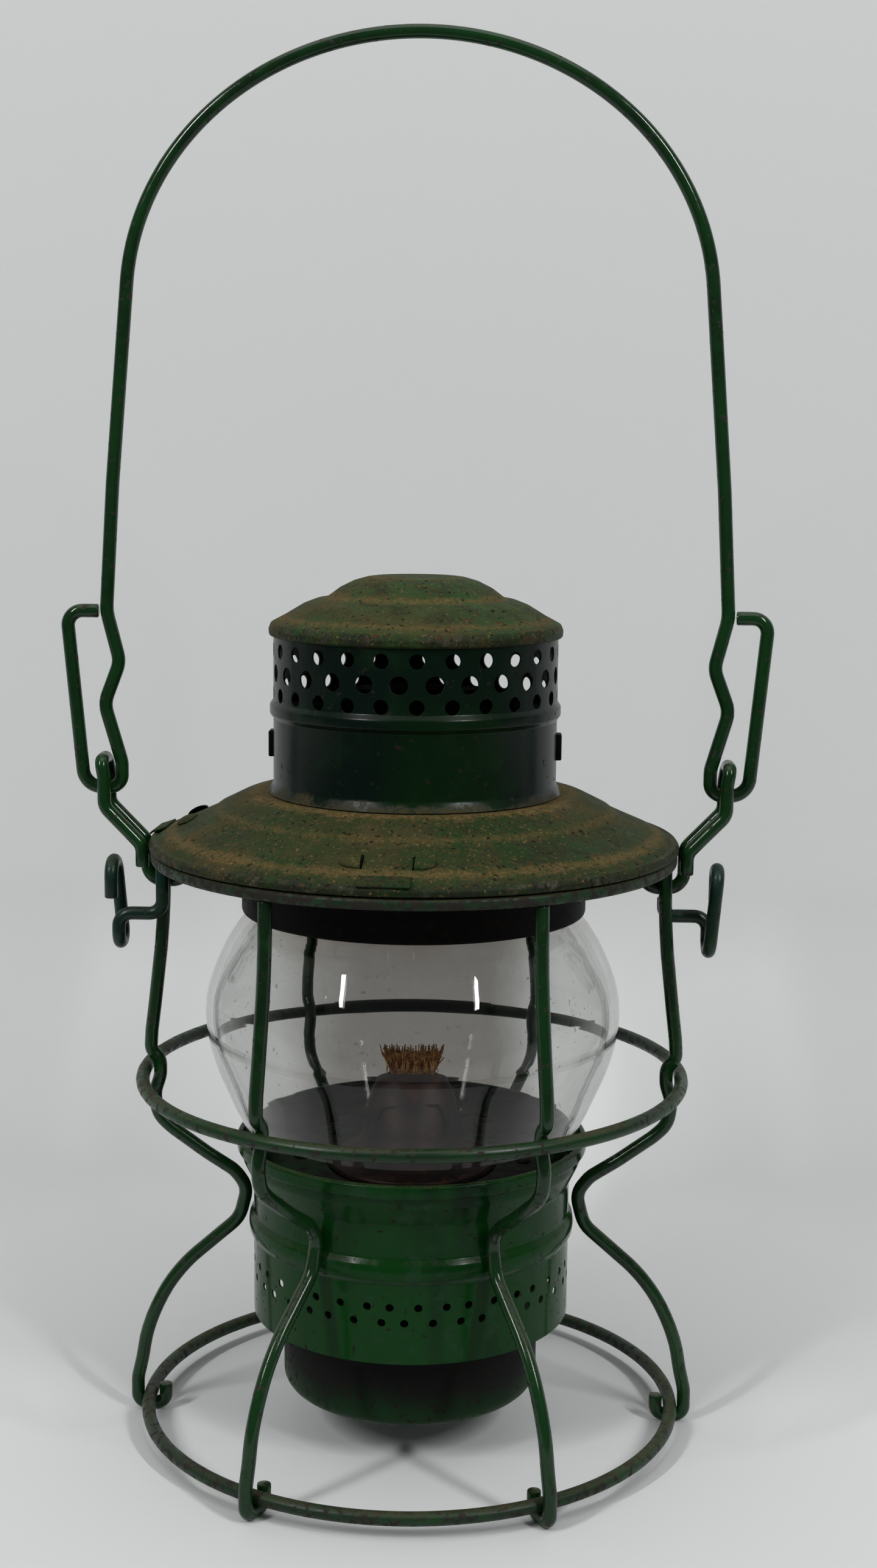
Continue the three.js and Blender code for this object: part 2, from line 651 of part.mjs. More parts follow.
// Bayonet ledge inside the neck, with a gap for each lug of the fount
const holderInnerR = HOLDER_R - SHEET;
const ledgeInnerR = holderInnerR - CLEARANCE - LEDGE_W;
const ledge = revolveClosed([
  [ledgeInnerR, LEDGE_Z - SHEET],
  [holderInnerR - CLEARANCE, LEDGE_Z - SHEET],
  [holderInnerR - CLEARANCE, LEDGE_Z],
  [ledgeInnerR, LEDGE_Z],
], VENT_GROUPS * 2, holderStart);
const lugOuterR = holderInnerR - CLEARANCE - LUG_INSET;
// A block whose outer corners lie on a radius
function lugBlock(span, fromR, toR, lowZ, highZ, angle) {
  const faceR = toR * Math.cos(span / 2);
  const width = toR * Math.sin(span / 2) * 2;
  return box(faceR - fromR, width, highZ - lowZ, (fromR + faceR) / 2, 0, (lowZ + highZ) / 2).rotateZ(angle);
}
const ledgeGaps = around(LUG_COUNT, LUG_TURN).map((angle) => lugBlock(
  LUG_SPAN + LUG_PLAY, ledgeInnerR - CUT_OVERRUN, lugOuterR + CLEARANCE,
  LEDGE_Z - SHEET - CUT_OVERRUN, LEDGE_Z + CUT_OVERRUN, angle,
));
add('bayonet_ledge', cut(ledge, ledgeGaps), paintedGreen);

// Globe plate, which the globe stands on
const flareShare = (plateTopZ - SHEET - HOLDER_FLARE_Z) / (HOLDER_LIP_Z - HOLDER_FLARE_Z);
const flareR = HOLDER_R + (lipR - HOLDER_R) * flareShare - SHEET * FLARE_WALL_SHARE;
const globePlateR = flareR - CLEARANCE;
const globePlate = revolveClosed([
  [BURNER_CUP_R + SHEET, plateTopZ - SHEET],
  [globePlateR, plateTopZ - SHEET],
  [globePlateR, plateTopZ],
  [BURNER_CUP_R + SHEET, plateTopZ],
]);
const plateHoleR = (BURNER_CUP_R + SHEET + GLOBE_BASE_R - GLOBE_WALL) / 2;
const plateHoles = around(GLOBE_PLATE_HOLES).map((angle) => new THREE.CylinderGeometry(
  GLOBE_PLATE_HOLE_D / 2, GLOBE_PLATE_HOLE_D / 2, SHEET + CUT_OVERRUN * 2, HOLE_SIDES,
).rotateX(Math.PI / 2).translate(plateHoleR, 0, plateTopZ - SHEET / 2).rotateZ(angle));
add('globe_plate', cut(globePlate, plateHoles), paintedGreen);

// Lid brim: a rolled rim, a lower and an upper crowned step
const brimTopZ = CHIMNEY_BASE_Z - CLEARANCE;
const brimInnerR = CHIMNEY_R - SHEET;
const brimLine = [
  [BRIM_R, lidBaseZ],
  [BRIM_R, lidBaseZ + BRIM_BEAD_H - SHEET / 2],
  ...brimShares.map(([inward, rise]) => [
    BRIM_R - (BRIM_R - brimInnerR) * inward, lidBaseZ + (brimTopZ - lidBaseZ) * rise,
  ]),
];
const brimUnder = innerLine(brimLine, SHEET);
const brimShell = revolveClosed([...brimLine, ...[...brimUnder].reverse()], RING_STEPS);
const lugDomeR = BRIM_R - LUG_DOME_INSET;
function brimLugs(angle) {
  return [1, -1].map((side) => {
    const dome = new THREE.SphereGeometry(1, LUG_DOME_STEPS, LUG_DOME_STEPS / 2)
      .scale(LUG_DOME_L / 2, LUG_DOME_W, LUG_DOME_H);
    const half = box(
      LUG_DOME_L + CUT_OVERRUN * 2, LUG_DOME_W * 2, (LUG_DOME_H + CUT_OVERRUN) * 2, 0, -side * LUG_DOME_W, 0,
    );
    return cut(dome, [half])
      .translate(lugDomeR, side * LUG_DOME_SPREAD, heightAt(brimLine, lugDomeR))
      .rotateZ(angle);
  });
}
add('lid_brim', cut(join([brimShell, ...CLIP_TURNS.flatMap(brimLugs)]), [hingeNotch]), dustyEnamel);

// Chimney: plain tube, bead and perforated band
const chimneyBeadTopZ = CHIMNEY_BEAD_Z + CHIMNEY_BEAD_H;
const chimneyBeadFlat = (CHIMNEY_BEAD_H * (1 - BEAD_FLAT_SHARE)) / 2;
const chimneyLine = [
  [CHIMNEY_R, CHIMNEY_BASE_Z],
  [CHIMNEY_R, CHIMNEY_BEAD_Z],
  [CHIMNEY_R + CHIMNEY_BEAD_RISE, CHIMNEY_BEAD_Z + chimneyBeadFlat],
  [CHIMNEY_R + CHIMNEY_BEAD_RISE, chimneyBeadTopZ - chimneyBeadFlat],
  [CHIMNEY_R, chimneyBeadTopZ],
  [CHIMNEY_R, CHIMNEY_TOP_Z],
];
const chimneyRows = [
  { z: CHIMNEY_ROW_TOP_Z, diameter: CHIMNEY_HOLE_D, turn: 0 },
  { z: CHIMNEY_ROW_MIDDLE_Z, diameter: CHIMNEY_WIDE_HOLE_D, turn: Math.PI / CHIMNEY_STEPS },
  { z: CHIMNEY_ROW_LOW_Z, diameter: CHIMNEY_HOLE_D, turn: 0 },
];
const chimneyHoles = chimneyRows.flatMap(({ z, diameter, turn }) => (
  around(CHIMNEY_STEPS, CHIMNEY_FIRST_HOLE + turn).map((angle) => radialRod(
    diameter, CHIMNEY_R - SHEET - CUT_OVERRUN, CHIMNEY_R + CUT_OVERRUN, z, angle,
  ))
));
const chimneyStart = CHIMNEY_FIRST_HOLE + Math.PI / 2 + CHIMNEY_FACET_TURN - Math.PI / CHIMNEY_STEPS;
const chimneyShell = revolveClosed(sheetSection(chimneyLine), CHIMNEY_STEPS, chimneyStart);
add('chimney', cut(chimneyShell, chimneyHoles), enamel);

// Two small tabs at the sides of the chimney
const tabX = CHIMNEY_R + CLEARANCE + CHIMNEY_TAB_RISE / 2;
const chimneyTab = box(CHIMNEY_TAB_RISE, CHIMNEY_TAB_W, CHIMNEY_TAB_H, tabX, 0, CHIMNEY_TAB_Z);
add('chimney_tab_right', chimneyTab, blackEnamel);
add('chimney_tab_left', turned(chimneyTab, Math.PI), blackEnamel);

// Chimney cap: a rolled rim, a lower dome, a step and an upper dome with a flat top
const capBaseZ = CHIMNEY_TOP_Z + CLEARANCE;
const capLine = [
  [CAP_R - CAP_ROLL, capBaseZ],
  [CAP_R, capBaseZ + CAP_ROLL],
  [CAP_R, capBaseZ + CAP_RIM_H - CAP_ROLL],
  ...capShares.map(([out, rise]) => [CAP_R * out, capBaseZ + CAP_RIM_H + CAP_RISE * rise]),
  [CAP_FLAT_R, capBaseZ + CAP_RIM_H + CAP_RISE],
  [0, capBaseZ + CAP_RIM_H + CAP_RISE],
];
add('chimney_cap', revolveClosed(sheetSection(capLine)), dustyEnamel);

// Collar under the brim, with a shelf that holds the globe's mouth
const globeTopZ = globeBaseZ + GLOBE_H;
const shelfZ = globeTopZ + CLEARANCE;
const collarTopZ = heightAt(brimUnder, COLLAR_R) - CLEARANCE;
const collarInnerR = COLLAR_R - SHEET;
const collarOpeningR = collarInnerR - COLLAR_SHELF_W;
const collarSection = [
  [collarInnerR, globeTopZ - COLLAR_LAP],
  [COLLAR_R - SHEET / 2, globeTopZ - COLLAR_LAP],
  [COLLAR_R, globeTopZ - COLLAR_LAP + SHEET / 2],
  [COLLAR_R, collarTopZ],
  [collarInnerR, collarTopZ],
  [collarInnerR, shelfZ + SHEET],
  [collarOpeningR, shelfZ + SHEET],
  [collarOpeningR, shelfZ],
  [collarInnerR, shelfZ],
];
add('globe_collar', revolveClosed(collarSection), blackEnamel);

// Lid clips: a tab on the rim, and under the brim a spring that grips inside the top ring
const rimTabInnerR = BRIM_R - RIM_TAB_L;
const rimTabOuterR = BRIM_R + SHEET / 2;
const rimTab = box(
  rimTabOuterR - rimTabInnerR, CLIP_W, SHEET,
  (rimTabOuterR + rimTabInnerR) / 2, 0, heightAt(brimLine, rimTabInnerR) + CLEARANCE + SHEET / 2,
);
const springR = TOP_RING_INNER_R * Math.cos(Math.PI / RING_STEPS) - CLEARANCE * 2;
const springX = Math.sqrt(springR ** 2 - (LID_SPRING_W / 2) ** 2) - SHEET / 2;
const springTopZ = heightAt(brimUnder, springR) - CLEARANCE;
const springLowZ = TOP_RING_BASE_Z - LID_SPRING_DROP;
const lidSpring = box(
  SHEET, LID_SPRING_W, springTopZ - springLowZ, springX, 0, (springTopZ + springLowZ) / 2,
);
['front', 'left'].forEach((place, index) => {
  add(`rim_tab_${place}`, turned(rimTab, CLIP_TURNS[index]), dustyEnamel);
  add(`lid_spring_${place}`, turned(lidSpring, CLIP_TURNS[index]), blackEnamel);
});

// Hinge at the back: two barrels on a leaf of the frame, one on the lid, and their pin
function hingeRod(diameter, length, x = 0) {
  const rod = new THREE.CylinderGeometry(diameter / 2, diameter / 2, length, HINGE_SIDES);
  return rod.rotateZ(Math.PI / 2).translate(x, hingeY, hingeZ);
}
const barrelStep = HINGE_BARREL_W + CLEARANCE;
const hingeBore = hingeRod(HINGE_PIN_D + CLEARANCE * 2, hingeW + CUT_OVERRUN * 2);
const leafY = TOP_RING_R + CLEARANCE + SHEET / 2;
const leafLowZ = TOP_RING_BASE_Z - HINGE_LEAF_DROP;
const leafTopZ = hingeZ - hingeNotchR;
const frameLeaf = [
  box(hingeW, SHEET, leafTopZ - leafLowZ, 0, leafY, (leafTopZ + leafLowZ) / 2),
  ...[1, -1].flatMap((side) => [
    box(HINGE_BARREL_W, SHEET, hingeZ - leafLowZ, side * barrelStep, leafY, (hingeZ + leafLowZ) / 2),
    hingeRod(HINGE_BARREL_D, HINGE_BARREL_W, side * barrelStep),
  ]),
];
add('hinge_frame_leaf', cut(join(frameLeaf), [hingeBore]), enamel);

const lidLeafInnerY = BRIM_R - HINGE_LEAF_L;
const lidLeafZ = heightAt(brimLine, lidLeafInnerY) + CLEARANCE;
const lidLeafOuterY = hingeY + SHEET / 2;
const lidLeaf = [
  hingeRod(HINGE_BARREL_D, HINGE_BARREL_W),
  box(HINGE_BARREL_W, SHEET, lidLeafZ + SHEET - hingeZ, 0, hingeY, (lidLeafZ + SHEET + hingeZ) / 2),
  box(HINGE_BARREL_W, lidLeafOuterY - lidLeafInnerY, SHEET, 0, (lidLeafOuterY + lidLeafInnerY) / 2,
    lidLeafZ + SHEET / 2),
];
add('hinge_lid_leaf', cut(join(lidLeaf), [hingeBore]), enamel);
add('hinge_pin', hingeRod(HINGE_PIN_D, hingeW + SHEET * 2), agedBrass);

// Fount: a pot with an open neck, hung from the ledge by the lugs of its locking plate
const plateZ = LEDGE_Z + CLEARANCE;
const neckTopZ = plateZ - CLEARANCE;
const fountLine = [
  [0, FOUNT_BASE_Z],
  [FOUNT_R - FOUNT_CORNER_R, FOUNT_BASE_Z],
  [FOUNT_R - FOUNT_CORNER_R * CORNER_CUT_SHARE, FOUNT_BASE_Z + FOUNT_CORNER_R * CORNER_CUT_SHARE],
  [FOUNT_R, FOUNT_BASE_Z + FOUNT_CORNER_R],
  [FOUNT_R, FOUNT_TOP_Z - FOUNT_SHOULDER_H],
  [FOUNT_R - FOUNT_SHOULDER_H, FOUNT_TOP_Z],
  [FOUNT_NECK_R, FOUNT_TOP_Z + SHEET],
  [FOUNT_NECK_R, neckTopZ],
];
add('fount_pot', revolve(sheetSection(fountLine), FOUNT_STEPS), enamel);

const wickSlot = (z, height) => box(TUBE_W, TUBE_T, height, 0, 0, z);
const plateR = ledgeInnerR - CLEARANCE * 2;
const plateUpperZ = plateZ + PLATE_T;
const lockingDisc = revolve([[0, plateZ], [plateR, plateZ], [plateR, plateUpperZ], [0, plateUpperZ]]);
const lugs = around(LUG_COUNT).map((angle) => lugBlock(
  LUG_SPAN, plateR - CUT_OVERRUN, lugOuterR, plateZ, plateZ + PLATE_T, angle,
));
const airHoles = around(PLATE_HOLES).map((angle) => new THREE.CylinderGeometry(
  PLATE_HOLE_D / 2, PLATE_HOLE_D / 2, PLATE_T + CUT_OVERRUN * 2, HOLE_SIDES,
).rotateX(Math.PI / 2).translate((plateR + BURNER_CUP_R) / 2, 0, plateZ + PLATE_T / 2).rotateZ(angle));
add('locking_plate', cut(join([lockingDisc, ...lugs]), [
  ...airHoles, wickSlot(plateZ + PLATE_T / 2, PLATE_T + CUT_OVERRUN * 2),
]), agedBrass);

// Burner: a draught cup, the cone over it and the flat wick tube
const cupBaseZ = plateZ + PLATE_T + CLEARANCE;
const cupTopZ = cupBaseZ + BURNER_CUP_H;
const winderY = WICK_T / 2 + CLEARANCE + SPUR_R;
const winderZ = cupBaseZ + SHEET + SPUR_R + CLEARANCE;
const cupLine = [
  [BURNER_CUP_R - CUP_FLOOR_W, cupBaseZ],
  [BURNER_CUP_R - SHEET, cupBaseZ],
  [BURNER_CUP_R, cupBaseZ + SHEET],
  [BURNER_CUP_R, cupTopZ],
];
function winderRod(diameter, fromX, toX, sides = SHAFT_SIDES) {
  const rod = new THREE.CylinderGeometry(diameter / 2, diameter / 2, toX - fromX, sides);
  return rod.rotateZ(Math.PI / 2).translate((fromX + toX) / 2, winderY, winderZ);
}
const shaftHole = winderRod(SHAFT_D + CLEARANCE * 2, BURNER_CUP_R / 2, BURNER_CUP_R + CUT_OVERRUN);
add('draught_cup', cut(revolveClosed(sheetSection(cupLine), BURNER_STEPS), [shaftHole]), agedBrass);

const coneBaseZ = cupTopZ + CLEARANCE;
const coneTopR = TUBE_W / 2 - CLEARANCE;
const coneLine = [
  [BURNER_CUP_R, coneBaseZ],
  ...coneShares.map(([flare, rise]) => [
    CONE_R + (BURNER_CUP_R - CONE_R) * flare, coneBaseZ + (CONE_TOP_Z - coneBaseZ) * rise,
  ]),
  [coneTopR, CONE_TOP_Z],
  [0, CONE_TOP_Z],
];
const coneSlot = wickSlot(CONE_TOP_Z, CONE_SLOT_H);
add('burner_cone', cut(revolveClosed(sheetSection(coneLine), BURNER_STEPS), [coneSlot]), agedBrass);

const tubeLowZ = cupBaseZ;
const tubeInnerW = WICK_W + CLEARANCE * 2;
const tubeInnerT = WICK_T + CLEARANCE * 2;
const tubeOuterW = tubeInnerW + TUBE_WALL * 2;
const tubeOuterT = tubeInnerT + TUBE_WALL * 2;
const tubeH = TUBE_TOP_Z - tubeLowZ;
const spurXs = [1, -1].map((side) => (side * SPUR_SPACING) / 2);
const spurWindows = spurXs.map((x) => box(
  SPUR_T + CLEARANCE * 2, tubeOuterT, SPUR_R * 2 + CLEARANCE * 2, x, tubeOuterT / 2, winderZ,
));
add('wick_tube', cut(
  box(tubeOuterW, tubeOuterT, tubeH, 0, 0, tubeLowZ + tubeH / 2),
  [box(tubeInnerW, tubeInnerT, tubeH + CUT_OVERRUN * 2, 0, 0, tubeLowZ + tubeH / 2), ...spurWindows],
), agedBrass);

// Wick: a flat strap that hangs into the pot and frays at its top
const frayZ = CONE_TOP_Z + WICK_FRAY_LIFT;
const wickShape = new THREE.Shape([
  new THREE.Vector2(-WICK_W / 2, WICK_TAIL_Z),
  new THREE.Vector2(WICK_W / 2, WICK_TAIL_Z),
  new THREE.Vector2(WICK_W / 2, frayZ),
  ...frayShares.map(([across, rise]) => new THREE.Vector2(
    (WICK_FRAY_W / 2) * across, frayZ + (WICK_TOP_Z - frayZ) * rise,
  )),
  new THREE.Vector2(-WICK_W / 2, frayZ),
]);
const wick = new THREE.ExtrudeGeometry(wickShape, { depth: WICK_T, bevelEnabled: false });
add('wick', weld(wick.rotateX(Math.PI / 2).translate(0, WICK_T / 2, 0)), cotton);

// Wick winder: a shaft with two spur wheels on the wick and a knob outside the cup
add('winder_shaft', winderRod(SHAFT_D, spurXs[1] - SPUR_SPACING / 2, KNOB_X + KNOB_T), agedBrass);
const spurShape = new THREE.Shape(around(SPUR_TEETH * 2).map((angle, index) => {
  const radius = index % 2 === 0 ? SPUR_R : SPUR_R - SPUR_TOOTH_H;
  return new THREE.Vector2(radius * Math.cos(angle), radius * Math.sin(angle));
}));
const wheelBore = winderRod(SHAFT_D + CLEARANCE * 2, spurXs[1] - SPUR_SPACING, KNOB_X + KNOB_T + CUT_OVERRUN);
spurXs.forEach((x, index) => {
  const wheel = new THREE.ExtrudeGeometry(spurShape, { depth: SPUR_T, bevelEnabled: false })
    .rotateY(Math.PI / 2).translate(x - SPUR_T / 2, winderY, winderZ);
  add(`spur_wheel_${index + 1}`, cut(wheel, [wheelBore]), agedBrass);
});
const knobShape = new THREE.Shape(around(KNOB_FLUTES * 2).map((angle, index) => {
  const radius = index % 2 === 0 ? KNOB_R : KNOB_R - KNOB_FLUTE_H;
  return new THREE.Vector2(radius * Math.cos(angle), radius * Math.sin(angle));
}));
add('winder_knob', cut(
  new THREE.ExtrudeGeometry(knobShape, { depth: KNOB_T, bevelEnabled: false })
    .rotateY(Math.PI / 2).translate(KNOB_X, winderY, winderZ),
  [wheelBore],
), agedBrass);

export default group;
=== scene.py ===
# %% [markdown]
# # A railroad lantern, dressed
#
# The lantern's pieces are already fixed, at their real size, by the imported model. Here each one gets
# its finished shape and its worn paint: wires as bent round wire, sheet metal as turned shells, a
# blown globe, a burner with a frayed wick. Nothing that carries or moves is shifted by it.

# %% Load the fixed frame
import json
import math
import random

import bmesh
import bpy
from mathutils import Matrix, Vector


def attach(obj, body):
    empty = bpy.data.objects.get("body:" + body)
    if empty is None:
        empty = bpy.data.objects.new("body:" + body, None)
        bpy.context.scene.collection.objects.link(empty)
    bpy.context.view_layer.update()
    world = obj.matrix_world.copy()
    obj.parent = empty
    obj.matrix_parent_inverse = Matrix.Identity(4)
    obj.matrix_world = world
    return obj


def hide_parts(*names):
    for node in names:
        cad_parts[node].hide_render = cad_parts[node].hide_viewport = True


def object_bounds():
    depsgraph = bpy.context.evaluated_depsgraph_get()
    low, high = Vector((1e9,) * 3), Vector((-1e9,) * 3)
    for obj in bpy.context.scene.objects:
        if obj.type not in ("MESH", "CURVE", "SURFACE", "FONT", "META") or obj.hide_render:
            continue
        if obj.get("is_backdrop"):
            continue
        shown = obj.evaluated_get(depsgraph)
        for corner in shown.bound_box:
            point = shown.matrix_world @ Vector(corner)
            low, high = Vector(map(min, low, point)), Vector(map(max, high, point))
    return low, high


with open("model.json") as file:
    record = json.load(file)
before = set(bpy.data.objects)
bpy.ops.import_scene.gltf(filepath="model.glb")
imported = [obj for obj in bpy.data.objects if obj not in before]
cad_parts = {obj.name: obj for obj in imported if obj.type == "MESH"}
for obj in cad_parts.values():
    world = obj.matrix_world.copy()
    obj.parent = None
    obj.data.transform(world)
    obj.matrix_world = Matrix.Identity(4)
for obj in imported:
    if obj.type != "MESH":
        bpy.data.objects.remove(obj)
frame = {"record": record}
cad_low, cad_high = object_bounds()

MM = 0.001
BODY_OF = {
    node: body
    for body, nodes in frame["record"]["behaviour"]["bodies"].items()
    for node in nodes
}

# %% [markdown]
# ## The camera
#
# The picture was taken from about two thirds of a metre in front of the lantern's middle and a little
# above its cap, looking slightly down. The lens follows from the picture's height and the distance.
# The lantern stood turned by a few degrees, so the camera is turned round it by as much.

# %% Stand the camera where the photographer stood
PICTURE_H = 2576
FOCAL_PIXELS = 3645.8
SENSOR = 36
CAMERA_BACK, CAMERA_UP = 676.2 * MM, 308.8 * MM
CAMERA_PITCH, CAMERA_YAW, CAMERA_ROLL = 0.1518, 0.0108, 0.0099
LANTERN_TURN = math.radians(2.5)

camera_data = bpy.data.cameras.new("camera")
camera_data.sensor_width = SENSOR
camera_data.lens = FOCAL_PIXELS / PICTURE_H * SENSOR
camera_data.clip_start = 10 * MM
camera_data.clip_end = 20
camera = bpy.data.objects.new("camera", camera_data)
bpy.context.scene.collection.objects.link(camera)
camera.matrix_world = (
    Matrix.Rotation(LANTERN_TURN, 4, "Z")
    @ Matrix.Translation((0, -CAMERA_BACK, CAMERA_UP))
    @ Matrix.Rotation(-CAMERA_YAW, 4, "Z")
    @ Matrix.Rotation(math.pi / 2 - CAMERA_PITCH, 4, "X")
    @ Matrix.Rotation(CAMERA_ROLL, 4, "Z")
)
bpy.context.scene.camera = camera
print("camera lens:", round(camera_data.lens, 2), "mm")

# %% [markdown]
# ## Finished pieces
#
# Every piece is made in a bmesh and then put in place of the plain solid that the model holds. One
# helper does what they all need: it marks the sharp edges, smooths the rest, and has the piece ride on
# the body of the solid that it stands for. The others are short names for steps that come back often.
# They take millimetres.

# %% Put a finished piece in place of its solid
SHARP = math.radians(38)
WELD = 0.002 * MM


def settle(bm, name, node, material):
    """Turns a bmesh into a piece that stands for this node."""
    for edge in bm.edges:
        edge.smooth = not edge.is_manifold or edge.calc_face_angle(0) < SHARP
    for face in bm.faces:
        face.smooth = True
    mesh = bpy.data.meshes.new(name)
    bm.to_mesh(mesh)
    bm.free()
    mesh.materials.append(material)
    piece = bpy.data.objects.new(name, mesh)
    bpy.context.scene.collection.objects.link(piece)
    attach(piece, BODY_OF[node])
    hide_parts(node)
    print(f"{name}: {len(mesh.polygons)} faces on {BODY_OF[node]}")


def verts_of(geometry):
    return [item for item in geometry if isinstance(item, bmesh.types.BMVert)]


def edges_among(verts):
    """The edges between these points, in an order that is the same in every run."""
    chosen = set(verts)
    return [e for e in dict.fromkeys(e for v in verts for e in v.link_edges) if set(e.verts) <= chosen]


def at(x, y, z):
    return Matrix.Translation(Vector((x, y, z)) * MM)


def about(axis, angle):
    return Matrix.Rotation(angle, 4, axis)


def turned_to(bm, turn):
    bmesh.ops.rotate(bm, verts=bm.verts, cent=(0, 0, 0), matrix=Matrix.Rotation(turn, 3, "Z"))
    return bm


def outward(bm):
    bmesh.ops.recalc_face_normals(bm, faces=bm.faces)
    return bm


def sharp_edges(bm):
    return [edge for edge in bm.edges if edge.calc_face_angle(0) > SHARP]


def soften(bm, edges, width, segments=2):
    """Rounds these edges over by a width."""
    bmesh.ops.bevel(
        bm, geom=edges, offset=width * MM, offset_type="OFFSET", affect="EDGES", segments=segments,
        profile=0.5, material=-1,
    )
    return bm


def add_block(bm, size, place):
    bmesh.ops.create_cube(bm, size=1, matrix=place @ Matrix.Diagonal((*(Vector(size) * MM), 1)))
    return bm


def rounded_block(size, centre, rounding):
    bm = add_block(bmesh.new(), size, at(*centre))
    return soften(bm, bm.edges[:], rounding, 3)


def add_peg(bm, diameter, length, place, sides=24):
    bmesh.ops.create_cone(
        bm, cap_ends=True, segments=sides, radius1=diameter / 2 * MM, radius2=diameter / 2 * MM,
        depth=length * MM, matrix=place,
    )
    return bm


def join_into(bm, other):
    """Adds another bmesh to this one, and frees it."""
    carrier = bpy.data.meshes.new("carrier")
    other.to_mesh(carrier)
    other.free()
    bm.from_mesh(carrier)
    bpy.data.meshes.remove(carrier)


print("helpers for a piece: settle, at, about, turned_to, outward, soften, add_block, add_peg, join_into")

# %% [markdown]
# ## Bent wire
#
# The guard, the ears, the hooks and the bail are round wire, bent on a jig: straight runs joined by
# round bends. The mesh is made the same way. A circle is extruded along each run and spun round each
# bend, so its section stays round all the way. A curve with a bevel would also do, but this keeps the
# nipped and slightly rounded ends in the same mesh. A wide bend takes more steps than a tight one.

# %% Bend a wire through its corners
WIRE_R = 2.1
WIRE_SIDES = 16
BEND_STEP = math.radians(9)
BEND_RUN = 2.2 * MM
STRAIGHT = math.radians(0.2)
END_ROUND = 0.45
ROOM_SHARE = 0.985


def push(bm, ring, offset):
    """Extrudes the open end along a straight run."""
    if offset.length < WELD:
        return ring
    verts = verts_of(bmesh.ops.extrude_edge_only(bm, edges=ring)["geom"])
    bmesh.ops.translate(bm, verts=verts, vec=offset)
    return edges_among(verts)


def swing(bm, ring, centre, axis, angle):
    """Spins the open end round a bend."""
    arm = (ring[0].verts[0].co - centre).length
    steps = max(1, math.ceil(angle / BEND_STEP), math.ceil(angle * arm / BEND_RUN))
    bent = bmesh.ops.spin(
        bm, geom=ring, cent=centre, axis=axis, angle=angle, steps=steps, use_duplicate=False
    )
    return edges_among(verts_of(bent["geom_last"]))


def bent_wire(corners, usual_bend, radius=WIRE_R, sides=WIRE_SIDES):
    """A round wire through corners of (x, y, z) or (x, y, z, bend radius)."""
    points = [Vector(row[:3]) * MM for row in corners]
    rounds = [(row[3] if len(row) > 3 else usual_bend) * MM for row in corners]
    facing = (points[1] - points[0]).to_track_quat("Z", "Y").to_matrix().to_4x4()
    bm = bmesh.new()
    circle = bmesh.ops.create_circle(
        bm, cap_ends=False, radius=radius * MM, segments=sides, matrix=Matrix.Translation(points[0]) @ facing
    )
    first = edges_among(circle["verts"])
    ring, here = first, points[0]
    for before, corner, after, bend in zip(points, points[1:], points[2:], rounds[1:]):
        into, out = (corner - before).normalized(), (after - corner).normalized()
        angle = into.angle(out)
        if angle < STRAIGHT:
            continue
        room = min((corner - before).length, (after - corner).length) / 2 * ROOM_SHARE
        trim = min(bend * math.tan(angle / 2), room)
        start = corner - into * trim
        ring = push(bm, ring, start - here)
        axis = into.cross(out).normalized()
        centre = start + axis.cross(into) * (trim / math.tan(angle / 2))
        ring = swing(bm, ring, centre, axis, angle)
        here = corner + out * trim
    last = push(bm, ring, points[-1] - here)
    outward(bm)
    for loop in (first, last):
        bmesh.ops.edgeloop_fill(bm, edges=loop)
    return soften(outward(bm), first + last, END_ROUND)


print(f"wire: {WIRE_R * 2} mm thick, {WIRE_SIDES} sides")

# %% [markdown]
# ## Turned sheet
#
# The brim, chimney, cap, collar, holder and fount are thin sheet, spun on a lathe. Half an outline is
# spun once round the axis and then given its thickness. The outline climbs on the outside, and each
# of its corners has its own small radius, as a metal spinner's chuck has.

# %% Turn a sheet round the axis
TURN_STEPS = 144
SHEET = 0.55
ARC_STEP = math.radians(15)
FLAT = math.radians(1)
WHOLE_TURN = {"cent": (0, 0, 0), "axis": (0, 0, 1), "angle": 2 * math.pi, "use_duplicate": False}


def rounded(corners):
    """The points of an outline of (radius, height[, fillet]) corners."""
    line = []
    for index, corner in enumerate(corners):
        here = Vector(corner[:2])
        fillet = corner[2] if len(corner) > 2 and 0 < index < len(corners) - 1 else 0
        if not fillet:
            line.append(here)
            continue
        before, after = Vector(corners[index - 1][:2]), Vector(corners[index + 1][:2])
        into, out = (here - before).normalized(), (after - here).normalized()
        angle = into.angle_signed(out)
        if abs(angle) < FLAT:
            line.append(here)
            continue
        half = math.tan(abs(angle) / 2)
        trim = min(fillet * half, min((here - before).length, (after - here).length) / 2 * ROOM_SHARE)
        side = -1 if angle > 0 else 1
        start = here - into * trim
        centre = start + Vector((-into.y, into.x)) * (trim / half) * side
        steps = max(2, math.ceil(abs(angle) / ARC_STEP))
        for step in range(steps + 1):
            turn = Matrix.Rotation(side * abs(angle) * step / steps, 2)
            line.append(centre + turn @ (start - centre))
    return [point * MM for point in line]


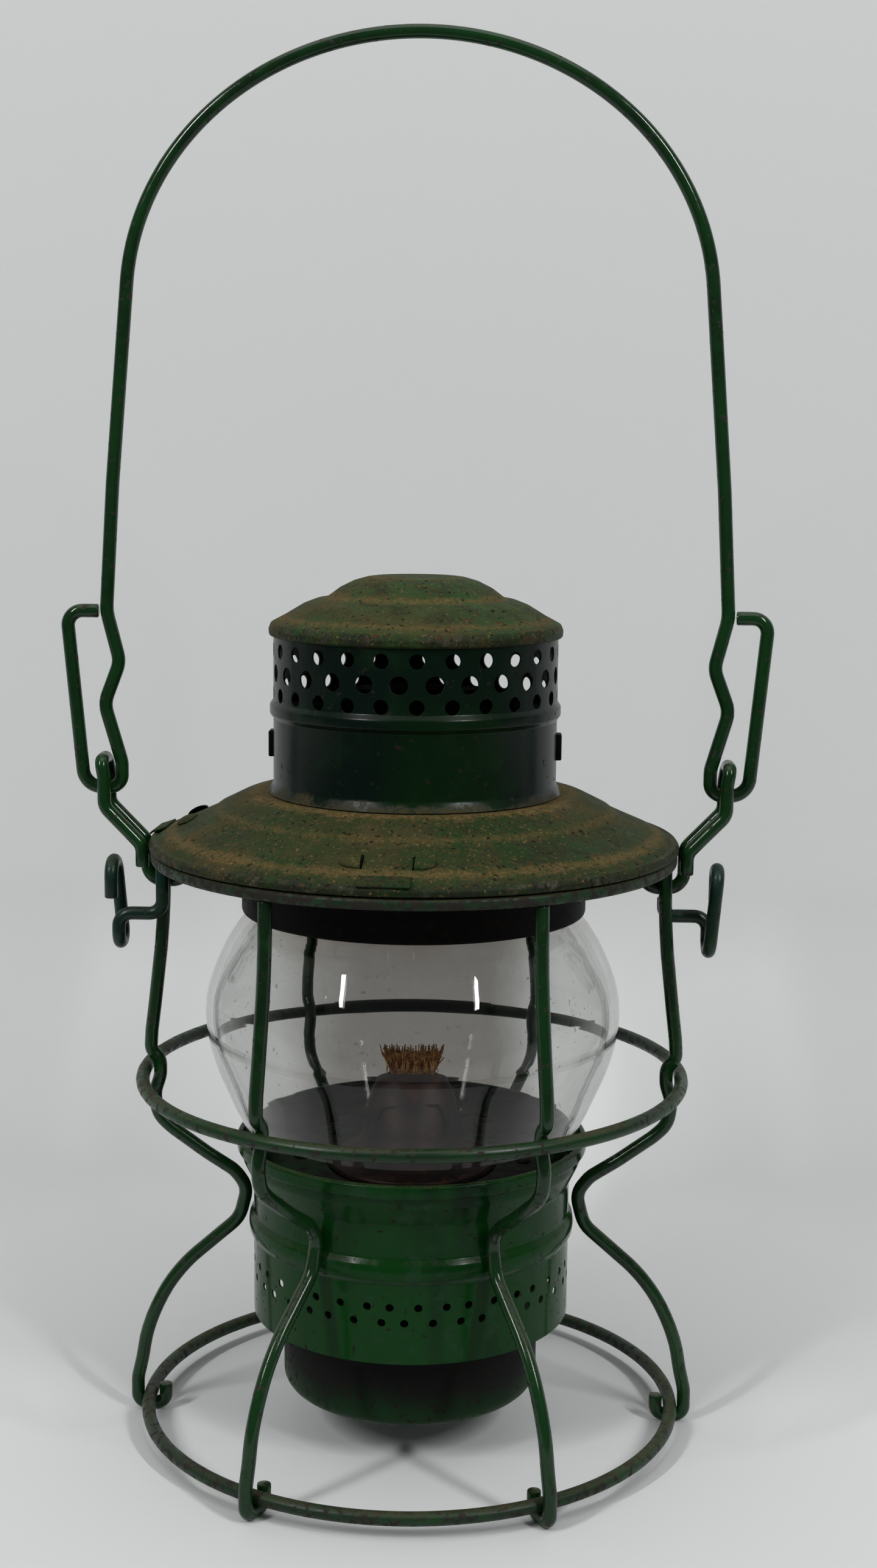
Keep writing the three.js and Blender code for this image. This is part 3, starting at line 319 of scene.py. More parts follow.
def spun(points):
    """An open surface of revolution, its faces pointing to the right of the outline's travel."""
    bm = bmesh.new()
    verts = [bm.verts.new((point.x, 0, point.y)) for point in points]
    edges = [bm.edges.new(pair) for pair in zip(verts, verts[1:])]
    bmesh.ops.spin(bm, geom=verts + edges, steps=TURN_STEPS, use_merge=True, **WHOLE_TURN)
    bmesh.ops.remove_doubles(bm, verts=bm.verts, dist=WELD)
    run, middle = points[1] - points[0], (points[0] + points[1]) / 2
    probe = min(bm.faces, key=lambda face: (face.calc_center_median().xz - middle).length)
    probe.normal_update()
    if probe.normal.dot(Vector((run.y, 0, -run.x))) < 0:
        bmesh.ops.reverse_faces(bm, faces=bm.faces)
    bm.normal_update()
    return bm


def turned_sheet(corners, wall=SHEET):
    bm = spun(rounded(corners))
    bmesh.ops.solidify(bm, geom=bm.faces[:], thickness=wall * MM)
    bmesh.ops.remove_doubles(bm, verts=bm.verts, dist=WELD)
    return outward(bm)


def turned_solid(corners):
    """A closed section, such as a bead or a ring, turned round the axis."""
    return outward(spun(rounded([*corners, corners[0]])))


print(f"sheet: {SHEET} mm thick, turned in {TURN_STEPS} steps")

# %% [markdown]
# ## Cut sheet
#
# Slits, air holes and slots are cut by a Boolean, as a punch does. An inset and a deleted face would
# be lighter, but the holes here are round and lie on curved sheet, and the exact solver keeps the
# walls of each hole clean.

# %% Cut one mesh out of another
def punched(bm, cutter):
    """The first mesh with the second cut out of it."""
    parts = []
    for name, source in (("sheet", bm), ("cutter", cutter)):
        mesh = bpy.data.meshes.new(name)
        source.to_mesh(mesh)
        source.free()
        parts.append(bpy.data.objects.new(name, mesh))
        bpy.context.scene.collection.objects.link(parts[-1])
    sheet, tool = parts
    cut = sheet.modifiers.new("punch", "BOOLEAN")
    cut.operation = "DIFFERENCE"
    cut.solver = "EXACT"
    cut.object = tool
    cut_sheet = sheet.evaluated_get(bpy.context.evaluated_depsgraph_get())
    result = bmesh.new()
    result.from_mesh(cut_sheet.to_mesh())
    cut_sheet.to_mesh_clear()
    for piece in parts:
        mesh = piece.data
        bpy.data.objects.remove(piece)
        bpy.data.meshes.remove(mesh)
    bmesh.ops.remove_doubles(result, verts=result.verts, dist=WELD)
    return result


print("ways to make a piece: bent_wire, turned_sheet, turned_solid, and punched for its holes")

# %% [markdown]
# ## Effects shared by the paints
#
# Every part of this lantern wears the same way: green enamel goes patchy, dust settles on what faces
# up, rust comes through in specks, and grime fills the creases that run round the sheet metal. Each
# effect is one node group, with its own inputs, so that each paint can have its own amount of it.

# %% Helpers that wire up nodes
def wire_up(tree, socket, value):
    """Links a socket, or sets its value where a plain value is given."""
    if isinstance(value, bpy.types.NodeSocket):
        tree.links.new(value, socket)
    elif socket.type == "RGBA":
        socket.default_value = (*value[:3], 1)
    else:
        socket.default_value = value


def calculate(tree, operation, *values, clamp=False):
    node = tree.nodes.new("ShaderNodeMath")
    node.operation = operation
    node.use_clamp = clamp
    for socket, value in zip(node.inputs, values):
        wire_up(tree, socket, value)
    return node.outputs[0]


def remap(tree, value, low, high, to_low=0.0, to_high=1.0):
    """A smooth step of a value from one range to another."""
    node = tree.nodes.new("ShaderNodeMapRange")
    node.interpolation_type = "SMOOTHSTEP"
    for socket, given in zip(node.inputs, (value, low, high, to_low, to_high)):
        wire_up(tree, socket, given)
    return node.outputs["Result"]


def stretched_place(tree, stretch):
    """The place in object space, in metres, stretched along each axis."""
    mapping = tree.nodes.new("ShaderNodeMapping")
    mapping.inputs["Scale"].default_value = stretch
    tree.links.new(tree.nodes.new("ShaderNodeTexCoord").outputs["Object"], mapping.inputs["Vector"])
    return mapping.outputs["Vector"]


def part_of(tree, axis, coordinate="Object"):
    """One part of the place in object space, or of the object's own normal."""
    split = tree.nodes.new("ShaderNodeSeparateXYZ")
    tree.links.new(tree.nodes.new("ShaderNodeTexCoord").outputs[coordinate], split.inputs[0])
    return split.outputs[axis]


def noise(tree, scale, detail=4.0, roughness=0.55, stretch=(1, 1, 1)):
    node = tree.nodes.new("ShaderNodeTexNoise")
    node.inputs["Detail"].default_value = detail
    node.inputs["Roughness"].default_value = roughness
    wire_up(tree, node.inputs["Scale"], scale)
    tree.links.new(stretched_place(tree, stretch), node.inputs["Vector"])
    return node.outputs["Fac"]


def wavering(tree, value, scale, amount, *detail):
    """A value that noise moves up and down by up to half an amount."""
    off = calculate(tree, "SUBTRACT", noise(tree, scale, *detail), 0.5)
    return calculate(tree, "ADD", value, calculate(tree, "MULTIPLY", off, amount))


def times(tree, *values):
    product = values[0]
    for value in values[1:]:
        product = calculate(tree, "MULTIPLY", product, value)
    return product


def new_group(name, **inputs):
    """A node group with number inputs and one mask as its output."""
    group = bpy.data.node_groups.new(name, "ShaderNodeTree")
    for title, value in inputs.items():
        socket = group.interface.new_socket(title, in_out="INPUT", socket_type="NodeSocketFloat")
        socket.default_value = value
    group.interface.new_socket("mask", in_out="OUTPUT", socket_type="NodeSocketFloat")
    return group, group.nodes.new("NodeGroupInput").outputs


def give_mask(group, mask):
    group.links.new(mask, group.nodes.new("NodeGroupOutput").inputs["mask"])
    print("group:", group.name)


print("helpers for nodes: wire_up, calculate, remap, noise, wavering, times, new_group, give_mask")

# %% [markdown]
# The first group makes **patches**: where a noise rises over a level, the mask turns on. It serves
# for chips and rust specks at a fine scale, and for worn and cleaner areas at a coarse one. The level
# is given as a cover from 0 to 1, because that is how one thinks of it.

# %% Patches
NOISE_SPREAD = 0.2

patches, given = new_group("patches", scale=100, cover=0.5, softness=0.05)
level = calculate(
    patches, "SUBTRACT", 0.5 + NOISE_SPREAD, calculate(patches, "MULTIPLY", given["cover"], NOISE_SPREAD * 2)
)
give_mask(patches, remap(
    patches, noise(patches, given["scale"]), calculate(patches, "SUBTRACT", level, given["softness"]),
    calculate(patches, "ADD", level, given["softness"]),
))

# %% [markdown]
# **Settled dust** lies on what faces up. The object's own normal is used, and not the world's, so
# that the dust stays where it settled when the lid is tipped open.

# %% Settled dust
settled, given = new_group("settled_dust", cover=0.5, steepest=0.25)
upward = remap(settled, part_of(settled, "Z", "Normal"), given["steepest"], 0.95)
drifts = remap(settled, noise(settled, 38, 5, 0.6), 0.3, 0.62)
grain = remap(settled, noise(settled, 900, 2, 0.7), 0.25, 0.65)
amount = times(settled, given["cover"], 2.0)
give_mask(settled, calculate(settled, "MULTIPLY", times(settled, upward, drifts, grain), amount, clamp=True))

# %% [markdown]
# A **ring of grime** lies in each crease of the turned sheet: round the chimney's foot, at a step, or
# inside a rolled rim. Its place is a radius from the lantern's axis. Coarse noise makes its edges
# ragged, and fine noise breaks it up into grit.

# %% A ring of grime
def grit(tree, least):
    return remap(tree, noise(tree, 850, 3, 0.8), 0.38, 0.60, least, 1.0)


ring_grime, given = new_group("ring_grime", radius=0.05, half_width=0.004, cover=0.6)
from_axis = ring_grime.nodes.new("ShaderNodeVectorMath")
from_axis.operation = "LENGTH"
ring_grime.links.new(stretched_place(ring_grime, (1, 1, 0)), from_axis.inputs[0])
away = calculate(
    ring_grime, "ABSOLUTE", calculate(ring_grime, "SUBTRACT", from_axis.outputs["Value"], given["radius"])
)
near = calculate(ring_grime, "SUBTRACT", 1.0, calculate(ring_grime, "DIVIDE", away, given["half_width"]))
ragged = remap(ring_grime, wavering(ring_grime, near, 150, 4.5, 8, 0.85), 0.0, 0.9)
give_mask(ring_grime, times(ring_grime, ragged, grit(ring_grime, 0.25), given["cover"]))

# %% [markdown]
# ## Paints and metals
#
# Each finish is a Principled shader whose colour and roughness are built up in coats, as the real
# surface was: the enamel, its patches, then rust, then dust on top. One helper lays a coat over what
# is already there. Shorter ones use it to lay patches or dust, place a ring of grime, or add bumps.

# %% Lay one coat over another
MIX_UNDER = {"RGBA": 6, "FLOAT": 2}
MIX_RESULT = {"RGBA": 2, "FLOAT": 0}


def new_finish(name, color, roughness, specular=0.17, metallic=0.0):
    material = bpy.data.materials.new(name)
    material.use_nodes = True
    shader = material.node_tree.nodes["Principled BSDF"]
    shader.inputs["Base Color"].default_value = (*color, 1)
    shader.inputs["Roughness"].default_value = roughness
    shader.inputs["Specular IOR Level"].default_value = specular
    shader.inputs["Metallic"].default_value = metallic
    return material


def lay_coat(material, mask, color, roughness=None):
    """Lays a colour, and a roughness if it changes, over the finish where the mask is on."""
    tree = material.node_tree
    shader = tree.nodes["Principled BSDF"]
    for title, kind, over in (("Base Color", "RGBA", color), ("Roughness", "FLOAT", roughness)):
        if over is None:
            continue
        socket = shader.inputs[title]
        mix = tree.nodes.new("ShaderNodeMix")
        mix.data_type = kind
        under = socket.links[0].from_socket if socket.links else socket.default_value
        wire_up(tree, mix.inputs[0], mask)
        wire_up(tree, mix.inputs[MIX_UNDER[kind]], under)
        wire_up(tree, mix.inputs[MIX_UNDER[kind] + 1], over)
        tree.links.new(mix.outputs[MIX_RESULT[kind]], socket)


def effect(material, group, **values):
    """Places a shared effect in a finish and gives its mask."""
    node = material.node_tree.nodes.new("ShaderNodeGroup")
    node.node_tree = group
    for title, value in values.items():
        node.inputs[title].default_value = value
    return node.outputs["mask"]


def speckle(material, scale, cover, softness, color, roughness=None):
    mask = effect(material, patches, scale=scale, cover=cover, softness=softness)
    lay_coat(material, mask, color, roughness)


def dust(material, cover, steepest, color, roughness=0.85):
    lay_coat(material, effect(material, settled, cover=cover, steepest=steepest), color, roughness)


def grime_at(material, radius, half_width, cover):
    return effect(material, ring_grime, radius=radius * MM, half_width=half_width * MM, cover=cover)


def raise_bumps(material, height, distance, strength):
    """Gives the finish bumps, from a height between 0 and 1 and a distance in millimetres."""
    tree = material.node_tree
    bump = tree.nodes.new("ShaderNodeBump")
    bump.inputs["Strength"].default_value = strength
    bump.inputs["Distance"].default_value = distance * MM
    tree.links.new(height, bump.inputs["Height"])
    tree.links.new(bump.outputs["Normal"], tree.nodes["Principled BSDF"].inputs["Normal"])


def roughen(material, scale, detail, distance, strength, *roughness):
    raise_bumps(material, noise(material.node_tree, scale, detail, *roughness), distance, strength)


print("helpers for finishes: new_finish, lay_coat, speckle, dust, grime_at, roughen")

# %% [markdown]
# **Enamel on wire.** The wires are dipped in a dark green enamel that still shines, with brighter
# green where hands have rubbed it and brown-black chips down to the steel. Dust only dulls their tops.

# %% Green enamel for the wires
DEEP_GREEN = (0.004, 0.017, 0.005)
BRIGHT_GREEN = (0.005, 0.035, 0.007)
COOL_GREEN = (0.003, 0.019, 0.013)
WORN_GREEN = (0.004, 0.028, 0.006)
CHIP_BROWN = (0.011, 0.008, 0.005)
DUST_OLIVE = (0.046, 0.041, 0.018)
RUST_BROWN = (0.070, 0.032, 0.011)
OCHRE = (0.130, 0.086, 0.032)
RUST_DUST = (0.062, 0.047, 0.019)
SOOT = (0.004, 0.004, 0.004)


def enamel(name, bright, chips, dusty, roughness, gloss=0.3):
    material = new_finish(name, DEEP_GREEN, roughness, gloss)
    speckle(material, 21, bright, 0.14, BRIGHT_GREEN)
    speckle(material, 240, 0.34, 0.10, WORN_GREEN, roughness + 0.08)
    speckle(material, 420, chips, 0.03, CHIP_BROWN, 0.7)
    dust(material, dusty, 0.35, DUST_OLIVE)
    roughen(material, 520, 3, 0.05, 0.3)
    print("finish:", name)
    return material


wire_green = enamel("wire_green", bright=0.50, chips=0.16, dusty=0.30, roughness=0.12, gloss=0.34)
ring_green = enamel("ring_green", bright=0.55, chips=0.30, dusty=0.5, roughness=0.32)
base_green = enamel("base_green", bright=0.32, chips=0.36, dusty=0.42, roughness=0.38)
rim_enamel = enamel("rim_enamel", bright=0.3, chips=0.5, dusty=0.8, roughness=0.45)
tab_enamel = enamel("tab_enamel", bright=0.3, chips=0.35, dusty=0.45, roughness=0.6, gloss=0.08)
hook_green = enamel("hook_green", bright=0.16, chips=0.2, dusty=0.35, roughness=0.30)
speckle(hook_green, 40, 0.62, 0.2, COOL_GREEN)

# %% [markdown]
# ** The chimney's enamel** is almost black and still glossy. The near-black is partly enamel that heat has
# baked and partly painted shade, as the upright chimney gets little light. One tall patch on its front
# was rubbed clean and shows the green. Its place is a distance across from the patch's middle, in object
# space, with noise added, so that the edges of the rub are soft. Dust from the brim has crept up round
# the foot and dulls it.

# %% Baked enamel and painted shade for the chimney
# The chimney's near-black base colour is partly painted shade for its dimly lit upright sides.
BAKED_AND_SHADED_GREEN = (0.0016, 0.0066, 0.0042)
RUBBED_GREEN = (0.0018, 0.0125, 0.0025)
RUB_X, RUB_HALF_W, RUB_FADE, RUB_TOP_Z, RUB_DEEP = 12 * MM, 10 * MM, 14 * MM, 226 * MM, 30 * MM
FOOT_DUST = (0.050, 0.041, 0.017)
FOOT_DUST_Z, FOOT_DUST_FADE, FOOT_WAVE = 203.4 * MM, 2.8 * MM, 13 * MM

chimney_green = new_finish("chimney_green", BAKED_AND_SHADED_GREEN, 0.26, specular=0.16)
tree = chimney_green.node_tree
off_middle = calculate(tree, "ABSOLUTE", calculate(tree, "SUBTRACT", part_of(tree, "X"), RUB_X))
across = remap(
    tree, wavering(tree, off_middle, 26, RUB_FADE * 2), RUB_HALF_W, RUB_HALF_W + RUB_FADE, 1.0, 0.0
)
in_front = remap(tree, part_of(tree, "Y"), -RUB_DEEP, 0.0, 1.0, 0.0)
low_down = remap(tree, part_of(tree, "Z"), RUB_TOP_Z, RUB_TOP_Z + RUB_FADE, 1.0, 0.25)
lay_coat(chimney_green, times(tree, across, in_front, low_down), RUBBED_GREEN)
speckle(chimney_green, 90, 0.08, 0.2, DEEP_GREEN, 0.3)
speckle(chimney_green, 420, 0.10, 0.03, CHIP_BROWN, 0.7)
dust(chimney_green, 0.3, 0.45, DUST_OLIVE)
foot = wavering(tree, part_of(tree, "Z"), 90, FOOT_WAVE, 5)
creeping = remap(tree, foot, FOOT_DUST_Z, FOOT_DUST_Z + FOOT_DUST_FADE, 0.9, 0.0)
lay_coat(chimney_green, times(tree, creeping, grit(tree, 0.2)), FOOT_DUST, 0.92)
roughen(chimney_green, 300, 3, 0.06, 0.4)
print("finish:", chimney_green.name)

# %% [markdown]
# **The lid's enamel** is the oldest looking: it faces the weather. Moss-green paint shows through a
# film of olive dust, and ochre rust gathers in rings, each in a crease of the sheet.

# %% Weathered enamel for the brim and the cap
MOSS, LEAF = (0.017, 0.030, 0.007), (0.008, 0.030, 0.005)
CAP_MOSS, CAP_LEAF = (0.028, 0.050, 0.013), (0.015, 0.047, 0.010)
MOSS_DARK = (0.012, 0.017, 0.006)
DUST_MOSS = (0.037, 0.042, 0.015)
RIM_BLACK, RIM_WORN = (0.011, 0.014, 0.008), (0.058, 0.055, 0.043)


def weathered(name, moss, leaf, rings, edge_ring):
    material = new_finish(name, moss, 0.62, specular=0.10)
    speckle(material, 46, 0.5, 0.12, leaf, 0.5)
    speckle(material, 150, 0.42, 0.16, MOSS_DARK)
    dust(material, 0.36, 0.1, DUST_MOSS, 0.92)
    speckle(material, 30, 0.20, 0.14, RUST_DUST, 0.92)
    for ring in rings:
        lay_coat(material, grime_at(material, *ring), OCHRE, 0.95)
    edge = grime_at(material, *edge_ring)
    lay_coat(material, edge, RIM_BLACK, 0.5)
    scuffs = effect(material, patches, scale=210, cover=0.30, softness=0.08)
    lay_coat(material, times(material.node_tree, edge, scuffs), RIM_WORN, 0.6)
    speckle(material, 520, 0.12, 0.05, RUST_BROWN, 0.95)
    speckle(material, 900, 0.12, 0.06, OCHRE, 0.95)
    speckle(material, 620, 0.16, 0.03, CHIP_BROWN, 0.9)
    roughen(material, 700, 4, 0.25, 0.7, 0.7)
    print("finish:", name)
    return material


BRIM_RINGS = [(47.6, 5.6, 1.0), (60.5, 2.2, 0.4), (74.8, 3.0, 0.7)]
CAP_RINGS = [(41.0, 2.2, 0.5), (26.5, 2.4, 0.7), (13.5, 3.5, 0.4)]
brim_enamel = weathered("brim_enamel", MOSS, LEAF, BRIM_RINGS, (82.0, 3.2, 0.9))
cap_enamel = weathered("cap_enamel", CAP_MOSS, CAP_LEAF, CAP_RINGS, (45.2, 1.6, 0.9))

# %% [markdown]
# ** The holder** kept its colour best. It is a glossy mid green, with darker upright streaks that are
# painted reflections of the guard wires. **The fount** is the same paint, darkened towards its top by
# painted shade that stands for the holder's shadow, and brighter at its lower edge. **The collar** is
# black enamel.

# %% Holder, fount and collar
HOLDER_GREEN = (0.003, 0.036, 0.005)
PAINTED_WIRE_REFLECTION = (0.002, 0.016, 0.004)
HOLDER_DULL = (0.010, 0.038, 0.014)
FOUNT_GREEN = (0.006, 0.028, 0.008)
FOUNT_SHADE = (0.005, 0.005, 0.005)
FOUNT_SHADE_FROM_Z, FOUNT_SHADE_TO_Z, FOUNT_SHADE_WAVE = 23 * MM, 37 * MM, 18 * MM

holder_gloss = new_finish("holder_gloss", HOLDER_GREEN, 0.15, specular=0.12)
tree = holder_gloss.node_tree
# Painted reflection: darker upright streaks, placed at random, stand for the guard wires mirrored in the
# glossy holder.
lay_coat(holder_gloss, remap(tree, noise(tree, 30, 3, 0.5, (1.6, 1.6, 0.12)), 0.50, 0.66), PAINTED_WIRE_REFLECTION)
speckle(holder_gloss, 160, 0.18, 0.12, HOLDER_DULL, 0.42)
speckle(holder_gloss, 520, 0.10, 0.03, CHIP_BROWN, 0.7)
dust(holder_gloss, 0.35, 0.2, DUST_OLIVE)
roughen(holder_gloss, 260, 2, 0.08, 0.25)

fount_green = new_finish("fount_green", FOUNT_GREEN, 0.34, specular=0.08)
tree = fount_green.node_tree
# Painted shade: the fount darkens towards its top, where the holder shades it.
fount_shade_height = calculate(tree, "ADD", part_of(tree, "Z"), times(tree, noise(tree, 28, 5, 0.6), FOUNT_SHADE_WAVE))
lay_coat(fount_green, remap(tree, fount_shade_height, FOUNT_SHADE_FROM_Z, FOUNT_SHADE_TO_Z), FOUNT_SHADE, 0.5)
speckle(fount_green, 420, 0.22, 0.05, CHIP_BROWN, 0.7)
roughen(fount_green, 300, 3, 0.08, 0.4)

collar_black = new_finish("collar_black", SOOT, 0.5, specular=0.04)
speckle(collar_black, 300, 0.25, 0.08, CHIP_BROWN, 0.7)
roughen(collar_black, 420, 3, 0.08, 0.5)
print("finishes:", holder_gloss.name, fount_green.name, collar_black.name)

# %% [markdown]
# **The burner** is plated brass that heat has turned a dull purplish brown, with tarnish in patches,
# and the plate under the globe is green enamel under a grey film of soot.
# **The wick** is singed cotton: ochre-brown where it frays and black at its tips. Its weave is two
# crossed waves, too fine to model, while the frayed fibres are real geometry.

# %% Burner metal and wick cotton
HEATED_BRASS = (0.036, 0.023, 0.023)
TARNISH, TARNISH_WARM = (0.017, 0.012, 0.014), (0.070, 0.032, 0.018)
PLATE_GREY = (0.018, 0.017, 0.017)

burner_metal = new_finish("burner_metal", HEATED_BRASS, 0.42, metallic=0.35)
speckle(burner_metal, 60, 0.45, 0.1, TARNISH, 0.55)
speckle(burner_metal, 330, 0.22, 0.05, TARNISH_WARM, 0.7)
roughen(burner_metal, 300, 2, 0.03, 0.3)

plate_grey = new_finish("plate_grey", PLATE_GREY, 0.6)
speckle(plate_grey, 40, 0.3, 0.1, HOLDER_DULL, 0.5)
speckle(plate_grey, 260, 0.3, 0.06, TARNISH, 0.8)
roughen(plate_grey, 200, 2, 0.03, 0.3)

COTTON_BROWN = (0.500, 0.225, 0.060)
COTTON_DEEP = (0.220, 0.085, 0.022)
COTTON_LIGHT = (0.700, 0.400, 0.150)
WEAVE_PITCH = 0.9 * MM
SINGED_FROM, SINGED_TO, SINGED_WAVE = 119.5 * MM, 125 * MM, 9 * MM

wick_cotton = new_finish("wick_cotton", COTTON_BROWN, 0.95, specular=0.10)
tree = wick_cotton.node_tree
weave = times(tree, *(
    calculate(tree, "SINE", times(tree, part_of(tree, axis), 2 * math.pi / WEAVE_PITCH)) for axis in "XZ"
))
lay_coat(wick_cotton, remap(tree, weave, -0.9, 0.9, 0.0, 0.5), COTTON_DEEP)
speckle(wick_cotton, 420, 0.4, 0.1, COTTON_LIGHT)
tips = wavering(tree, part_of(tree, "Z"), 500, SINGED_WAVE, 2)
lay_coat(wick_cotton, remap(tree, tips, SINGED_FROM, SINGED_TO), SOOT)
raise_bumps(wick_cotton, weave, 0.25, 0.6)
print("finishes:", burner_metal.name, plate_grey.name, wick_cotton.name)

# %% [markdown]
# ** The globe** is clear blown glass with a grey cast of smoke. A darker grey band over its front and
# back is painted shade: it stands for the shaded wall seen through the globe's middle. Brown grime sits
# at its mouth and its foot, and specks of dirt lie all over. All of these tint the light that passes, so
# the masks change the glass's own colour, and where the dirt is thick, its roughness. The film also
# dulls the room's mirror image, so the glass's shine is halved. Cycles would stop lamp light at glass,
# so shadow and diffuse rays see a clear tint instead, and the burner inside is lit as it is in a real
# lantern.

# %% Glass with grime and painted shade
GLASS_TINT = (0.82, 0.825, 0.815)
GLASS_SHINE = (0.5, 0.5, 0.5)
GLASS_SHADE = (0.50, 0.49, 0.475)
GRIME = (0.36, 0.30, 0.24)
SPECK = (0.30, 0.27, 0.22)
GLASS_SHADE_HALF_W, GLASS_SHADE_FADE = 22 * MM, 26 * MM
MOUTH_FROM_Z, MOUTH_TO_Z, FOOT_FROM_Z, FOOT_TO_Z, GRIME_WAVE = (
    156 * MM, 176 * MM, 84 * MM, 98 * MM, 22 * MM
)

globe_glass = new_finish("globe_glass", GLASS_TINT, 0.0, specular=0.5)
tree = globe_glass.node_tree
glass = tree.nodes["Principled BSDF"]
glass.inputs["IOR"].default_value = 1.5
glass.inputs["Specular Tint"].default_value = (*GLASS_SHINE, 1)
glass.inputs["Transmission Weight"].default_value = 1.0
# Painted shade: a grey band over the globe's front and back stands for the shaded wall seen through its
# middle.
sideways = wavering(tree, calculate(tree, "ABSOLUTE", part_of(tree, "X")), 16, GLASS_SHADE_FADE)
lay_coat(globe_glass, remap(tree, sideways, GLASS_SHADE_HALF_W, GLASS_SHADE_HALF_W + GLASS_SHADE_FADE, 1.0, 0.0), GLASS_SHADE)
level = wavering(tree, part_of(tree, "Z"), 45, GRIME_WAVE, 5)
lay_coat(globe_glass, remap(tree, level, MOUTH_FROM_Z, MOUTH_TO_Z, 0.0, 0.8), GRIME, 0.06)
lay_coat(globe_glass, remap(tree, level, FOOT_FROM_Z, FOOT_TO_Z, 0.7, 0.0), GRIME)
speckle(globe_glass, 420, 0.012, 0.015, SPECK, 0.12)


def let_through(tree, choice, color=(1, 1, 1)):
    """Lets light straight through, with a clear tint, where the choice is on."""
    clear = tree.nodes.new("ShaderNodeBsdfTransparent")
    clear.inputs["Color"].default_value = (*color, 1)
    mix = tree.nodes.new("ShaderNodeMixShader")
    tree.links.new(choice, mix.inputs["Fac"])
    tree.links.new(tree.nodes["Principled BSDF"].outputs["BSDF"], mix.inputs[1])
    tree.links.new(clear.outputs["BSDF"], mix.inputs[2])
    tree.links.new(mix.outputs["Shader"], tree.nodes["Material Output"].inputs["Surface"])


rays = tree.nodes.new("ShaderNodeLightPath").outputs
let_through(tree, calculate(tree, "MAXIMUM", rays["Is Shadow Ray"], rays["Is Diffuse Ray"]), GLASS_TINT)
print("finish:", globe_glass.name)

# %% [markdown]
# ## The room
#
# A pale paper sweep: a floor that curves up into a wall close behind the lantern. It is one profile
# pulled sideways. Its back is made clear by the Backfacing value, so that a view from behind still
# sees the lantern. Towards the photographer the paper gets darker, as the dim room there was, because
# glossy black paint mirrors what lies in front.

# %% Roll out the pale sweep
FLOOR_FRONT, FLOOR_HALF_WIDTH = -3, 3
WALL_Y, WALL_BEND_R, WALL_H = 0.25, 0.12, 2.4
BEND_Y = WALL_Y - WALL_BEND_R
SWEEP_STEPS = 24
PAPER, PAPER_IN_SHADE = (0.645, 0.655, 0.65), (0.08, 0.08, 0.085)
SHADE_FROM_Y, SHADE_TO_Y = -0.24, -0.50

bm = bmesh.new()
ends = [bm.verts.new((-FLOOR_HALF_WIDTH, y, 0)) for y in (FLOOR_FRONT, BEND_Y)]
bm.edges.new(ends)
bent = bmesh.ops.spin(
    bm, geom=ends[1:], cent=(0, BEND_Y, WALL_BEND_R), axis=(1, 0, 0), angle=math.pi / 2,
    steps=SWEEP_STEPS, use_duplicate=False,
)
top = bmesh.ops.extrude_vert_indiv(bm, verts=verts_of(bent["geom_last"]))
bmesh.ops.translate(bm, verts=top["verts"], vec=(0, 0, WALL_H))
side = bmesh.ops.extrude_edge_only(bm, edges=bm.edges[:])
bmesh.ops.translate(bm, verts=verts_of(side["geom"]), vec=(FLOOR_HALF_WIDTH * 2, 0, 0))
outward(bm)
floor = min(bm.faces, key=lambda face: face.calc_center_median().z)
if floor.normal.z < 0:
    bmesh.ops.reverse_faces(bm, faces=bm.faces)
for face in bm.faces:
    face.smooth = True
sweep = bpy.data.objects.new("sweep", bpy.data.meshes.new("sweep"))
bm.to_mesh(sweep.data)
bm.free()

paper = new_finish("pale_paper", PAPER, 0.9, specular=0.5)
tree = paper.node_tree
lay_coat(paper, remap(tree, part_of(tree, "Y"), SHADE_FROM_Y, SHADE_TO_Y), PAPER_IN_SHADE)
let_through(tree, tree.nodes.new("ShaderNodeNewGeometry").outputs["Backfacing"])
sweep.data.materials.append(paper)
bpy.context.scene.collection.objects.link(sweep)
sweep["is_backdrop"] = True
print("sweep:", len(sweep.data.polygons), "faces")


# %% [markdown]
# ## Guard rings
#
# Two rings of round wire go round the guard: one that it stands on and one at the globe's belly. A
# ring is a small circle spun once round the lantern's axis.

# %% Spin the two wire rings
BASE_RING_R, BASE_RING_Z = 83.2, 6.3
GUARD_RING_R, GUARD_RING_Z = 84.0, 113.8
RING_STEPS = 180


def wire_ring(ring_r, height):
    bm = bmesh.new()
    section = bmesh.ops.create_circle(
        bm, cap_ends=False, radius=WIRE_R * MM, segments=WIRE_SIDES,
        matrix=at(ring_r, 0, height) @ about("X", math.pi / 2),
    )
    bmesh.ops.spin(bm, geom=edges_among(section["verts"]), steps=RING_STEPS, use_merge=True, **WHOLE_TURN)
    bmesh.ops.remove_doubles(bm, verts=bm.verts, dist=WELD)
    return outward(bm)


settle(wire_ring(BASE_RING_R, BASE_RING_Z), "base_ring_wire", "base_ring", base_green)
settle(wire_ring(GUARD_RING_R, GUARD_RING_Z), "guard_ring_wire", "guard_ring", ring_green)

# %% [markdown]
# ## Guard wires
#
# Six upright wires make the cage. Each comes down from under the top ring, steps behind the belly
# ring, swings in to the holder's neck, and then out in a long curve to hook under the base ring. The
# outline is in radius and height, and one wire is bent and turned to its place six times over.

